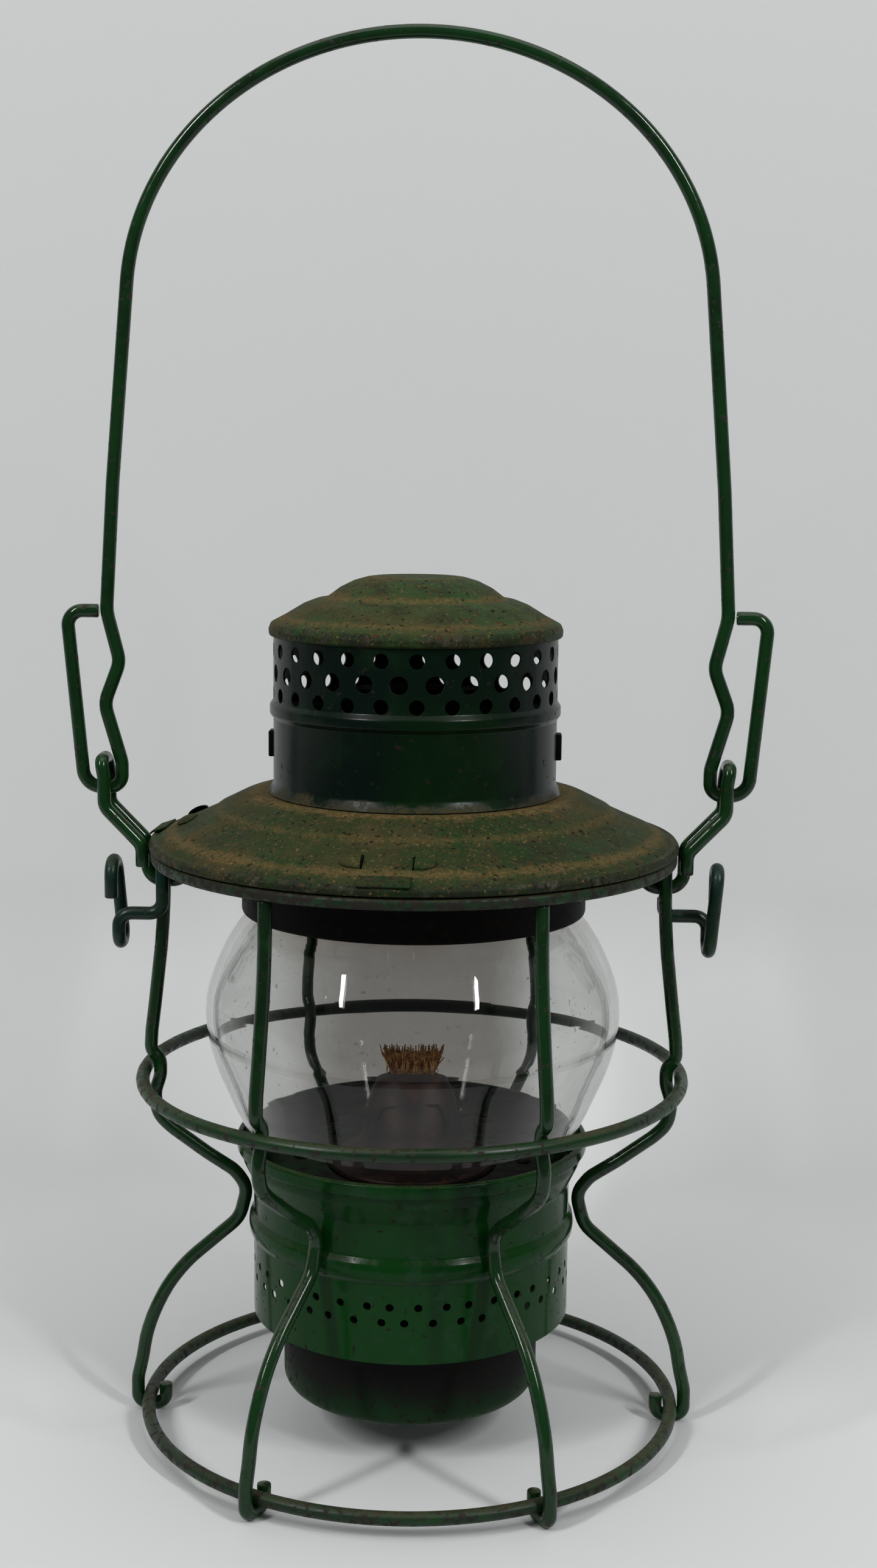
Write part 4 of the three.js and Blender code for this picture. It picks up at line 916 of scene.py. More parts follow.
# %% Bend the six guard wires
GUARD_BEND_R, NECK_BEND_R, FOOT_BEND_R, SWEEP_BEND_R = 10, 20, 3, 60
FOOT_Z = WIRE_R
GUARD_WIRES = 6
GUARD_LINE = [
    (77.7, 181.9), *[
        (*row, SWEEP_BEND_R)
        for row in ((77.9, 168.6), (78.3, 160.9), (78.9, 153.1), (79.8, 145.3), (80.9, 135.5))
    ],
    (82.1, 126), (82.5, 119.4), (79.5, 116.6), (79.5, 111.2), (81.4, 105.6), (80.4, 98.4),
    (76, 94.2, NECK_BEND_R), (64.8, 86.1, NECK_BEND_R), (56.2, 80.6), (52.1, 75.2), (54.6, 65), *[
        (*row, SWEEP_BEND_R)
        for row in ((62.6, 58), (71.6, 50.1), (77.8, 42), (81.9, 33.7), (84.8, 25.6), (86.1, 17.4))
    ],
    (87.7, 10.6), (87.7, FOOT_Z, FOOT_BEND_R), (78.7, FOOT_Z, FOOT_BEND_R), (78.7, 8.7),
]


def spread(count, start=0.0):
    return [start + 2 * math.pi * index / count for index in range(count)]


for number, turn in enumerate(spread(GUARD_WIRES), 1):
    wire = bent_wire([(radius, 0, *rest) for radius, *rest in GUARD_LINE], GUARD_BEND_R)
    settle(turned_to(wire, turn), f"guard_wire_bent_{number}", f"guard_wire_{number}", wire_green)

# %% [markdown]
# ## Ears and side hooks
#
# An ear on each side is a hairpin of the same wire that carries an eye of the bail. Below it, a hook
# sticks out to catch the lowered bail. The ears are mirror images of each other, and the hooks are
# turned half round.

# %% Bend the ears and the hooks
EAR_HALF_W, EAR_BEND_R, EAR_TOP_BEND_R = 4.9, 5, 4.8
HOOK_HALF_W, HOOK_BEND_R = 4.5, 4.2
HOOK_LEG_TOPS = {"right": 170.2, "left": 181.9}
SIDES = {"right": 1, "left": -1}
EAR_LINE = [
    (83.8, -EAR_HALF_W, 179), (83.8, -EAR_HALF_W, 185.6), (95.4, -EAR_HALF_W, 197.6),
    (95.4, -EAR_HALF_W, 206.8), (96.2, -EAR_HALF_W, 211.8, EAR_TOP_BEND_R),
    (96.2, EAR_HALF_W, 211.8, EAR_TOP_BEND_R), (95.4, EAR_HALF_W, 206.8), (95.4, EAR_HALF_W, 197.6),
    (83.8, EAR_HALF_W, 185.6), (83.8, EAR_HALF_W, 173), (71, EAR_HALF_W, 173), (71, EAR_HALF_W, 183.6),
]
HOOK_LINE = [
    (77.7, HOOK_HALF_W, 164.2), (91.4, HOOK_HALF_W, 164.2), (91.4, HOOK_HALF_W, 154.3),
    (91.4, -HOOK_HALF_W, 154.3), (93.6, -HOOK_HALF_W, 179.8), (93.6, HOOK_HALF_W, 179.8),
    (93.6, HOOK_HALF_W, 168.9),
]

for name, side in SIDES.items():
    ear = [(x * side, *rest) for x, *rest in EAR_LINE]
    settle(bent_wire(ear, EAR_BEND_R), f"ear_hairpin_{name}", f"ear_{name}", wire_green)
    leg_top = (HOOK_LINE[0][0], HOOK_HALF_W, HOOK_LEG_TOPS[name])
    hook = [(x * side, y * side, z) for x, y, z in (leg_top, *HOOK_LINE)]
    settle(bent_wire(hook, HOOK_BEND_R), f"side_hook_{name}", f"hook_{name}", hook_green)

# %% [markdown]
# ## Bail
#
# The bail is one long wire. Each foot starts at the leg, goes out, down the outside of a long eye,
# round the ear and up again with a kink that keeps the eye on the ear, and the legs lean together
# into a wide arch. The arch is half an ellipse, so its corners come from a formula.

# %% Bend the bail
ARCH_FOOT_X, ARCH_FOOT_Z, BAIL_TOP_Z = 88.0, 350.0, 428.7
ARCH_CORNERS = 22
BAIL_BEND_R, LEG_BEND_R, ARCH_BEND_R = 5.8, 60, 120
BAIL_FOOT = [
    (97.2, 0, 257.5), (107.1, 0, 257.5), (102.2, 0, 203), (90.6, 0, 203), (90.6, 0, 211, 8),
    (95.8, 0, 229, 9), (90.9, 0, 242, 8), (94.8, 0, 257.5, 14), *[
        (x, 0, z, LEG_BEND_R) for x, z in ((93.6, 277.8), (92.5, 296), (91, 314), (89.5, 332), (88, 350))
    ],
]
arch = [
    (
        ARCH_FOOT_X * math.cos(math.pi * step / ARCH_CORNERS), 0,
        ARCH_FOOT_Z + (BAIL_TOP_Z - ARCH_FOOT_Z) * math.sin(math.pi * step / ARCH_CORNERS), ARCH_BEND_R,
    )
    for step in range(1, ARCH_CORNERS)
]
far_foot = [(-x, *rest) for x, *rest in reversed(BAIL_FOOT)]
settle(bent_wire(BAIL_FOOT + arch + far_foot, BAIL_BEND_R), "bail_wire", "bail", wire_green)

# %% [markdown]
# ## Top ring and lid
#
# The ring that the guard wires meet is sheet metal with a rolled outer edge. The lid's brim sits on
# it: a rolled rim, a lower crowned step, a kink, and an upper step that runs up to the chimney.

# %% Turn the top ring
TOP_RING = [
    (68.6, 184.0), (77.6, 184.0, 0.3), (77.6, 182.2, 0.5), (81.0, 182.2, 1.2), (81.0, 185.6, 1.2),
    (76.8, 185.6, 0.4), (68.6, 185.6, 0.3),
]
NOTCH_HALF_W, NOTCH_INNER_Y = 11.1, 79.7


def slice_at(bm, point, normal, **options):
    bmesh.ops.bisect_plane(
        bm, geom=bm.verts[:] + bm.edges[:] + bm.faces[:], plane_co=point, plane_no=normal, **options
    )


def closed(bm):
    """Fills every open edge."""
    bmesh.ops.holes_fill(bm, edges=[edge for edge in bm.edges if edge.is_boundary])
    return outward(bm)


def notched(bm):
    """Opens a rim at the back, where the hinge's barrels lie."""
    for side in (1, -1):
        slice_at(bm, (side * NOTCH_HALF_W * MM, 0, 0), (1, 0, 0), dist=WELD)
    slice_at(bm, (0, NOTCH_INNER_Y * MM, 0), (0, 1, 0), dist=WELD)
    middles = [(face, face.calc_center_median() / MM) for face in bm.faces]
    inside = [face for face, (x, y, _) in middles if abs(x) < NOTCH_HALF_W and y > NOTCH_INNER_Y]
    bmesh.ops.delete(bm, geom=inside, context="FACES")
    return closed(bm)


settle(notched(turned_solid(TOP_RING)), "top_ring_rolled", "top_ring", rim_enamel)

# %% [markdown]
# The brim is pressed from one sheet. Its outline has the rolled rim as a bead and two soft steps. At
# the front and at the left a clip is pressed into it: two low half-moon lugs, each with a slit along
# its flat side. They are parts of the sheet, so they are made in the same mesh, and the slits are cut
# by a Boolean.

# %% Turn the brim
BRIM_LINE = [
    (80.3, 186.0, 0.3), (81.4, 186.3, 0.6), (81.5, 187.8, 1.2), (80.6, 189.2, 0.9), (79.2, 188.9, 0.8),
    (77.4, 190.2, 2), (74.5, 191.6, 6), (69, 194.0, 12), (62.6, 196.9, 2), (60.4, 198.6, 1.6),
    (57.6, 200.0, 8), (53, 202.3, 10), (48.6, 203.3, 5), (45.4, 203.1, 1.2), (42.6, 203.1),
]
BRIM_SLOPE = math.radians(23.5)
CLIP_TURNS = {"front": math.radians(-93.5), "left": math.radians(176.5)}
LUG_R, LUG_SPREAD, LUG_Z = 69.4, 7.3, 193.75
LUG_HALF_SIZE = (3.4, 6.2, 1.4)
LUG_SIDES = 24
SLIT_L, SLIT_W, SLIT_DEEP = 6.6, 0.6, 4
TINY = 1e-6


def half_moon(turn, side):
    """A half-dome lug, flat towards the middle of its clip, lying on the brim's slope."""
    bm = bmesh.new()
    bmesh.ops.create_uvsphere(bm, u_segments=LUG_SIDES, v_segments=LUG_SIDES // 2, radius=1)
    slice_at(bm, (0, 0, 0), (0, -side, 0), clear_outer=True, dist=TINY)
    slice_at(bm, (0, 0, -0.5), (0, 0, -1), clear_outer=True, dist=TINY)
    closed(bm)
    bmesh.ops.scale(bm, verts=bm.verts, vec=Vector(LUG_HALF_SIZE) * MM)
    middle = at(LUG_R, side * (LUG_SPREAD + SLIT_W / 2), LUG_Z)
    bmesh.ops.transform(bm, verts=bm.verts, matrix=about("Z", turn) @ middle @ about("Y", BRIM_SLOPE))
    return bm


lugs = [(turn, side) for turn in CLIP_TURNS.values() for side in (1, -1)]
slits = bmesh.new()
for turn, side in lugs:
    add_block(slits, (SLIT_L, SLIT_W, SLIT_DEEP), about("Z", turn) @ at(LUG_R, side * LUG_SPREAD, LUG_Z))
brim = punched(notched(turned_sheet(BRIM_LINE)), slits)
for turn, side in lugs:
    join_into(brim, half_moon(turn, side))
settle(brim, "lid_brim_pressed", "lid_brim", brim_enamel)

# %% [markdown]
# ## Clips
#
# A clip is a strip bent over the rim. Its tab shows on top, cleaner than the brim round it, and its
# spring hangs inside the top ring and holds the lid shut. Each is a bevelled strip with a bend.

# %% Bend the clips
TAB_W, SPRING_W, CLIP_THICK = 15.0, 12.0, 0.6
STRIP_ROUND = 0.15
TAB_ROWS = [(76.9, 191.3), (77.5, 191.1), (79.3, 190.4), (81.2, 189.8), (81.95, 189.1)]
SPRING_ROWS = [(66.3, 179.3), (67.0, 181.0), (67.0, 190.4), (66.4, 192.4)]


def strip(rows, width, thick):
    """A flat strip along rows of (radius, height), a given width across."""
    bm = bmesh.new()
    verts = [bm.verts.new(Vector((radius, -width / 2, height)) * MM) for radius, height in rows]
    edges = [bm.edges.new(pair) for pair in zip(verts, verts[1:])]
    grown = bmesh.ops.extrude_edge_only(bm, edges=edges)
    bmesh.ops.translate(bm, verts=verts_of(grown["geom"]), vec=(0, width * MM, 0))
    outward(bm)
    bmesh.ops.solidify(bm, geom=bm.faces[:], thickness=thick * MM)
    return soften(outward(bm), sharp_edges(bm), STRIP_ROUND)


def wrapped(bm):
    """Curves a strip round the lantern's axis, so that its corners keep to the round rim."""
    for vert in bm.verts:
        radius, turn = vert.co.x, vert.co.y / vert.co.x
        vert.co.x, vert.co.y = radius * math.cos(turn), radius * math.sin(turn)
    return bm


for place, turn in CLIP_TURNS.items():
    tab = turned_to(wrapped(strip(TAB_ROWS, TAB_W, CLIP_THICK)), turn)
    settle(tab, f"rim_tab_bent_{place}", f"rim_tab_{place}", tab_enamel)
    spring = turned_to(strip(SPRING_ROWS, SPRING_W, CLIP_THICK), turn)
    settle(spring, f"lid_spring_bent_{place}", f"lid_spring_{place}", collar_black)

# %% [markdown]
# ## Chimney
#
# A tube with a small flare at its foot, a raised bead, and three rows of air holes punched in a band
# above. The cutters for the holes are short pegs set round the tube, and the whole set is one mesh, so
# the sheet is cut once. Two small lugs stick out of the chimney's sides. Each is a pressed bump, flat
# on its face, so a block with well-rounded edges gives the right light.

# %% Turn the chimney, punch its air holes and press its side lugs
CHIMNEY_R = 43.4
CHIMNEY_LINE = [
    (44.9, 203.5, 0.3), (44.4, 204.6, 1.4), (43.4, 206.4, 2), (43.4, 226.2, 0.7), (44.5, 227.6, 1.1),
    (44.5, 230.2, 1.1), (43.4, 231.7, 0.7), (43.4, 252.6),
]
HOLE_COUNT, HOLE_FIRST = 26, math.radians(-87)
HOLE_ROWS = [(247.2, 4.5, 0.0), (240.3, 5.4, 0.5), (233.9, 4.5, 0.0)]
PEG_L = 6
SIDE_LUG_SIZE, SIDE_LUG_ROUND = (1.9, 6.0, 8.0), 0.45
SIDE_LUG_X, SIDE_LUG_Z = 43.95, 217.6


def pegs(rows, wall_r, sides=24):
    """Pegs through a round wall, in one mesh, from rows of (height, diameter, angle)."""
    bm = bmesh.new()
    for height, diameter, angle in rows:
        place = about("Z", angle) @ at(wall_r, 0, height) @ about("Y", math.pi / 2)
        add_peg(bm, diameter, PEG_L, place, sides)
    return bm


pitch = 2 * math.pi / HOLE_COUNT
holes = [
    (height, diameter, HOLE_FIRST + (index + turn) * pitch)
    for height, diameter, turn in HOLE_ROWS
    for index in range(HOLE_COUNT)
]
chimney = punched(turned_sheet(CHIMNEY_LINE), pegs(holes, CHIMNEY_R))
settle(chimney, "chimney_punched", "chimney", chimney_green)
for name, side in SIDES.items():
    lug = rounded_block(SIDE_LUG_SIZE, (side * SIDE_LUG_X, 0, SIDE_LUG_Z), SIDE_LUG_ROUND)
    settle(lug, f"chimney_lug_{name}", f"chimney_tab_{name}", collar_black)

# %% [markdown]
# ## Cap and collar
#
# The cap is spun: a rolled rim over the chimney's top, a low dome, a step, and a smaller dome with a
# little flat on top. The collar hangs from the brim and grips the globe's mouth. Both are turned
# sheet again, each from its own outline.

# %% Turn the cap and the collar
CAP_LINE = [
    (43.6, 251.0, 0.3), (44.7, 251.4, 0.8), (44.9, 253.2, 1.2), (44.2, 255.0, 1.0), (42.9, 255.7, 1.6),
    (39.9, 257.3, 5), (34.3, 260.7, 8), (30.4, 262.2, 3), (27.4, 262.6, 1.4), (25.6, 263.9, 1.4),
    (23.2, 265.7, 6), (19, 267.8, 6), (15.2, 268.9, 3), (13.4, 269.15, 2), (0, 269.15),
]
COLLAR_LINE = [
    (40.1, 168.9, 0.3), (51.6, 168.9, 0.8), (52.1, 166.6, 0.6), (52.9, 166.3, 0.4), (53.2, 167.2, 0.6),
    (53.2, 199.4),
]
settle(turned_sheet(CAP_LINE), "chimney_cap_spun", "chimney_cap", cap_enamel)
settle(turned_sheet(COLLAR_LINE), "globe_collar_turned", "globe_collar", collar_black)

# %% [markdown]
# ## Globe holder
#
# The holder is a beaded cup with a rolled lip. It carries the globe and lets air in through a double
# row of little holes, in groups of three. It is turned, then punched like the chimney.

# %% Turn the holder and punch its vents
HOLDER_R = 49.7
HOLDER_LINE = [
    (49.7, 38.0), (49.7, 62.6, 1.2), (51.0, 64.4, 1.6), (51.3, 66.6, 2.4), (51.0, 68.8, 1.6),
    (49.7, 70.6, 1.2), (49.7, 80.4, 5), (53.2, 87.6, 3), (53.3, 90.3, 0.5), (54.9, 90.6, 1.4),
    (54.9, 94.7, 1.6), (53.2, 94.8, 0.2), (52.9, 94.0),
]
VENT_ROWS, VENT_GROUPS, VENTS_A_GROUP = 2, 13, 3
VENT_PITCH, VENT_FIRST, VENT_ROW_TURN = math.radians(9.9), math.radians(-94.7), math.radians(5.1)
VENT_D, VENT_TOP_Z, VENT_ROW_DROP = 2.5, 55.6, 4.8
VENT_SIDES = 16
vents = [
    (VENT_TOP_Z - row * VENT_ROW_DROP, VENT_D, turn + place * VENT_PITCH + row * VENT_ROW_TURN)
    for row in range(VENT_ROWS)
    for turn in spread(VENT_GROUPS, VENT_FIRST)
    for place in range(VENTS_A_GROUP)
]
holder = punched(turned_sheet(HOLDER_LINE), pegs(vents, HOLDER_R, VENT_SIDES))
settle(holder, "globe_holder_punched", "globe_holder", holder_gloss)

# %% [markdown]
# Inside the holder are a ledge with three gaps, which the fount's lugs pass and then rest on, and a
# plate with air holes that the globe stands on. Both are flat rings, cut by the same Boolean.

# %% Cut the ledge and the globe plate
LEDGE_LINE = [(43.7, 69.3), (48.3, 69.3, 0.2), (48.3, 70.4, 0.2), (43.7, 70.4)]
GLOBE_PLATE_LINE = [(27.1, 84.6), (50.2, 84.6, 0.3), (50.2, 85.7, 0.3), (27.1, 85.7)]
LUG_COUNT = 3
LUG_TURN, LUG_SPAN, LUG_PLAY = math.radians(30), math.radians(16), math.radians(4)
LUG_FROM_R, LUG_TO_R = 42.6, 46.9
GAP_FROM_R, GAP_TO_R, GAP_LOW, GAP_HIGH = 42.7, 47.2, 68.3, 71.4
PLATE_HOLE_R, PLATE_HOLE_D, PLATE_HOLES = 35.35, 5.0, 8
PLATE_CUT_LOW, PLATE_CUT_HIGH = 83.6, 86.7


def lug_blocks(span, from_r, to_r, low, high, start=0.0):
    """Blocks set round the axis, their outer corners on a radius."""
    bm = bmesh.new()
    face_r = to_r * math.cos(span / 2)
    size = (face_r - from_r, to_r * math.sin(span / 2) * 2, high - low)
    for turn in spread(LUG_COUNT, start):
        add_block(bm, size, about("Z", turn) @ at((from_r + face_r) / 2, 0, (low + high) / 2))
    return bm


def upright_pegs(count, ring_r, diameter, low, high):
    bm = bmesh.new()
    for turn in spread(count):
        add_peg(bm, diameter, high - low, about("Z", turn) @ at(ring_r, 0, (low + high) / 2))
    return bm


gaps = lug_blocks(LUG_SPAN + LUG_PLAY, GAP_FROM_R, GAP_TO_R, GAP_LOW, GAP_HIGH, LUG_TURN)
settle(punched(turned_solid(LEDGE_LINE), gaps), "bayonet_ledge_cut", "bayonet_ledge", holder_gloss)
air_holes = upright_pegs(PLATE_HOLES, PLATE_HOLE_R, PLATE_HOLE_D, PLATE_CUT_LOW, PLATE_CUT_HIGH)
settle(punched(turned_solid(GLOBE_PLATE_LINE), air_holes), "globe_plate_punched", "globe_plate", plate_grey)

# %% [markdown]
# ## Globe
#
# The globe is blown in a mould: a wide belly, a short foot and a ground mouth. Its outline is turned
# as one closed wall with rounded lips, because clear glass needs both of its surfaces to bend light
# as the real wall does.

# %% Turn the globe
GLOBE_OUTSIDE = [
    (46.9, 86.0, 0.8), (48.6, 90.0, 6), (51.2, 95.6, 20), (56.2, 106, 40), (60.9, 117, 40),
    (63.6, 125.4, 40), (64.7, 135, 40), (63.5, 143.2, 30), (61.2, 149.3, 30), (57.5, 157, 30),
    (54, 162.2, 14), (51.2, 165.4, 8), (50.4, 168.4, 0.8),
]
GLOBE_WALL = 2.6
GLOBE_FOOT, GLOBE_MOUTH = (44.2, 86.0, 0.8), (47.7, 168.4, 0.8)


def inward(before, corner, after):
    """A corner moved by the wall's thickness to the left side of an outline that climbs."""
    run = (Vector(after[:2]) - Vector(before[:2])).normalized()
    return corner[0] - run.y * GLOBE_WALL, corner[1] + run.x * GLOBE_WALL, corner[2]


inside = [inward(*three) for three in zip(GLOBE_OUTSIDE, GLOBE_OUTSIDE[1:], GLOBE_OUTSIDE[2:])]
wall = turned_solid([*GLOBE_OUTSIDE, GLOBE_MOUTH, *reversed(inside), GLOBE_FOOT])
settle(wall, "globe_blown", "globe", globe_glass)

# %% [markdown]
# ## Hinge
#
# At the back, two knuckles on the frame and one on the lid turn on a pin. The knuckles are turned
# tubes and the leaves are bent strips that run from them.

# %% Make the hinge
HINGE_AXIS = (82.5, 185.75)
KNUCKLE_R, KNUCKLE_W, KNUCKLE_STEP, KNUCKLE_ROUND = 2.5, 7.0, 7.3, 0.2
PIN_R, PIN_PLAY, PIN_HALF_W, PIN_ROUND = 1.5, 0.2, 11.9, 0.5
LEAF_THICK, LEAF_Y, LID_LEAF_THICK = 1.0, 81.85, 0.8
LID_LEAF_ROWS = [(76.9, 192.0), (80.4, 190.7), (82.4, 189.9), (83.6, 188.6), (83.6, 186.6)]
ROD_SIDES = 32


def rod(radius, from_x, to_x, axis, rounding=0.0):
    """A round rod along X on an axis (y, z)."""
    place = at((from_x + to_x) / 2, *axis) @ about("Y", math.pi / 2)
    bm = add_peg(bmesh.new(), radius * 2, to_x - from_x, place, ROD_SIDES)
    return soften(bm, sharp_edges(bm), rounding)


def knuckle(x):
    tube = rod(KNUCKLE_R, x - KNUCKLE_W / 2, x + KNUCKLE_W / 2, HINGE_AXIS, KNUCKLE_ROUND)
    return punched(tube, rod(PIN_R + PIN_PLAY, x - KNUCKLE_W, x + KNUCKLE_W, HINGE_AXIS))


frame_leaf = knuckle(KNUCKLE_STEP)
join_into(frame_leaf, knuckle(-KNUCKLE_STEP))
for width, height, x, z in (
    (21.6, 4.2, 0, 180.9), (KNUCKLE_W, 4.6, KNUCKLE_STEP, 182.4), (KNUCKLE_W, 4.6, -KNUCKLE_STEP, 182.4),
):
    join_into(frame_leaf, rounded_block((width, LEAF_THICK, height), (x, LEAF_Y, z), KNUCKLE_ROUND))
settle(frame_leaf, "hinge_frame_knuckles", "hinge_frame_leaf", wire_green)

lid_leaf = knuckle(0)
join_into(lid_leaf, turned_to(strip(LID_LEAF_ROWS, KNUCKLE_W, LID_LEAF_THICK), math.pi / 2))
settle(lid_leaf, "hinge_lid_knuckle", "hinge_lid_leaf", wire_green)
pin = rod(PIN_R, -PIN_HALF_W, PIN_HALF_W, HINGE_AXIS, PIN_ROUND)
settle(pin, "hinge_pin_headed", "hinge_pin", burner_metal)

# %% [markdown]
# ## Fount
#
# The oil pot is drawn from one sheet, with a round lower corner, a shoulder and an open neck. On its
# neck sits the locking plate, whose three lugs turn over the holder's ledge.

# %% Draw the fount and cut its locking plate
FOUNT_LINE = [
    (0, 12.05), (26, 12.05, 2), (31, 12.3, 2), (40.2, 13.2, 8.5), (40.2, 57.4, 1.5), (35.4, 62, 2.5),
    (16.0, 63.1, 1.5), (16.0, 70.3),
]
PLATE_R, PLATE_LOW, PLATE_HIGH, PLATE_ROUND = 43.0, 70.7, 72.3, 0.4
AIR_HOLE_R, AIR_HOLE_D, AIR_HOLES = 34.5, 7.0, 6
WICK_GAP, WICK_GAP_ROUND = (15.4, 4.0, 4.0), 0.01

settle(turned_sheet(FOUNT_LINE), "fount_drawn", "fount_pot", fount_green)

locking = turned_solid([
    (0, PLATE_LOW), (PLATE_R, PLATE_LOW, PLATE_ROUND), (PLATE_R, PLATE_HIGH, PLATE_ROUND), (0, PLATE_HIGH),
])
cutters = upright_pegs(AIR_HOLES, AIR_HOLE_R, AIR_HOLE_D, PLATE_LOW - 1, PLATE_HIGH + 1)
join_into(cutters, rounded_block(WICK_GAP, (0, 0, (PLATE_LOW + PLATE_HIGH) / 2), WICK_GAP_ROUND))
locking = punched(locking, cutters)
join_into(locking, lug_blocks(LUG_SPAN, LUG_FROM_R, LUG_TO_R, PLATE_LOW, PLATE_HIGH))
settle(locking, "locking_plate_lugged", "locking_plate", burner_metal)

# %% [markdown]
# ## Burner
#
# The burner is a draught cup with a dome over it. The dome rises to a flat-sided cap with a slot for
# the wick, and a pressed line and a small rivet show on its front. It is turned first; then its upper
# part is squeezed flat, as the press does, by moving its points towards the wick's plane.

# %% Spin the burner and press its cap
BURNER_SHEET = 0.5
WINDER_AXIS = (4.8, 77.5)
CUP_LINE = [
    (18.0, 72.7), (24.9, 72.7, 1.4), (26.0, 74.6, 0.8), (26.0, 83.8, 0.6), (26.6, 84.6, 0.3), (26.4, 85.1),
]
CONE_LINE = [
    (26.2, 85.6, 0.3), (26.2, 87.0, 1), (22.4, 88.6, 3), (17.6, 91.4, 3), (14.6, 96.6, 5), (14.0, 104.2, 5),
    (12.6, 108.4, 4), (10.6, 111.6, 2.4), (7.6, 113.0, 1), (0, 113.0),
]
PRESS_FROM, PRESS_TO, PRESS_KEEP = 97.0, 109.0, 0.62
RELIEF_LINE = [
    (-10.6, -9.6, 100.5), (-9.4, -9.2, 104.8), (8.6, -8.4, 105.6), (10.4, -9.2, 102.4), (10.8, -9.9, 96.2),
]
RELIEF_R, RELIEF_BEND_R, RELIEF_SIDES = 0.45, 1.6, 8
RIVET_R, RIVET_FLAT, RIVET_PLACE = 1.1, 0.55, (11.6, -9.2, 100.6)
CUP_BORE_R, CUP_BORE_FROM, CUP_BORE_TO = 1.6, 20, 30
SLOT_SIZE, SLOT_MIDDLE, SLOT_ROUND = (15.2, 3.6, 8), (0, 0, 113), 0.6

cup = punched(turned_sheet(CUP_LINE, BURNER_SHEET), rod(CUP_BORE_R, CUP_BORE_FROM, CUP_BORE_TO, WINDER_AXIS))
settle(cup, "draught_cup_turned", "draught_cup", burner_metal)

cone = turned_sheet(CONE_LINE, BURNER_SHEET)
for vert in cone.verts:
    share = min(max((vert.co.z / MM - PRESS_FROM) / (PRESS_TO - PRESS_FROM), 0), 1)
    ease = share * share * (3 - 2 * share)
    vert.co.y *= 1 - ease * (1 - PRESS_KEEP)
cone = punched(cone, rounded_block(SLOT_SIZE, SLOT_MIDDLE, SLOT_ROUND))
join_into(cone, bent_wire(RELIEF_LINE, RELIEF_BEND_R, RELIEF_R, RELIEF_SIDES))
rivet = bmesh.new()
bmesh.ops.create_uvsphere(rivet, u_segments=16, v_segments=8, radius=RIVET_R * MM)
bmesh.ops.scale(rivet, verts=rivet.verts, vec=(1, RIVET_FLAT, 1))
bmesh.ops.transform(rivet, verts=rivet.verts, matrix=at(*RIVET_PLACE))
join_into(cone, rivet)
settle(cone, "burner_cone_pressed", "burner_cone", burner_metal)

# %% [markdown]
# The wick runs in a flat tube. Two windows in the tube let the spur wheels bite into the wick, and
# their shaft ends in a knurled knob outside the cup.

# %% Make the wick tube and its winder
TUBE_LOW, TUBE_HIGH = 72.7, 110.0
TUBE_W, TUBE_T, TUBE_ROUND = 15.0, 3.6, 0.4
TUBE_INNER_W, TUBE_INNER_T, TUBE_INNER_ROUND = 14.0, 2.6, 0.3
SPUR_X, SPUR_R, SPUR_T, SPUR_DEPTH, SPUR_TEETH, SPUR_PLAY = 3.0, 3.5, 1.6, 0.8, 12, 0.6
WINDOW_SIZE = (SPUR_T + SPUR_PLAY, TUBE_T, SPUR_R * 2 + SPUR_PLAY)
WINDOW_Y, WINDOW_ROUND = 2.1, 0.2
SHAFT_R, SHAFT_FROM, SHAFT_ROUND = 1.2, -6, 0.3
BORE_R, BORE_FROM, BORE_TO = 1.5, -8, 32
KNOB_R, KNOB_FROM, KNOB_TO, KNOB_DEPTH, KNOB_FLUTES = 4.4, 27.4, 29.8, 0.35, 22

tube_middle = (0, 0, (TUBE_HIGH + TUBE_LOW) / 2)
tube = rounded_block((TUBE_W, TUBE_T, TUBE_HIGH - TUBE_LOW), tube_middle, TUBE_ROUND)
hollow = rounded_block((TUBE_INNER_W, TUBE_INNER_T, TUBE_HIGH), tube_middle, TUBE_INNER_ROUND)
for x in (SPUR_X, -SPUR_X):
    join_into(hollow, rounded_block(WINDOW_SIZE, (x, WINDOW_Y, WINDER_AXIS[1]), WINDOW_ROUND))
settle(punched(tube, hollow), "wick_tube_flat", "wick_tube", burner_metal)


def toothed_wheel(outer_r, depth, teeth, from_x, to_x):
    """A bored wheel on the winder's shaft, toothed by pushing every other point in."""
    bm = bmesh.new()
    rim = bmesh.ops.create_circle(bm, cap_ends=True, radius=outer_r * MM, segments=teeth * 2)["verts"]
    for vert in rim[1::2]:
        vert.co *= (outer_r - depth) / outer_r
    grown = bmesh.ops.extrude_face_region(bm, geom=bm.faces[:])
    bmesh.ops.translate(bm, verts=verts_of(grown["geom"]), vec=(0, 0, (to_x - from_x) * MM))
    place = at(from_x, *WINDER_AXIS) @ about("Y", math.pi / 2)
    bmesh.ops.transform(outward(bm), verts=bm.verts, matrix=place)
    return punched(bm, rod(BORE_R, BORE_FROM, BORE_TO, WINDER_AXIS))


for number, x in enumerate((SPUR_X, -SPUR_X), 1):
    wheel = toothed_wheel(SPUR_R, SPUR_DEPTH, SPUR_TEETH, x - SPUR_T / 2, x + SPUR_T / 2)
    settle(wheel, f"spur_wheel_cut_{number}", f"spur_wheel_{number}", burner_metal)
shaft = rod(SHAFT_R, SHAFT_FROM, KNOB_TO, WINDER_AXIS, SHAFT_ROUND)
settle(shaft, "winder_shaft_round", "winder_shaft", burner_metal)
knob = toothed_wheel(KNOB_R, KNOB_DEPTH, KNOB_FLUTES, KNOB_FROM, KNOB_TO)
settle(knob, "winder_knob_knurled", "winder_knob", burner_metal)

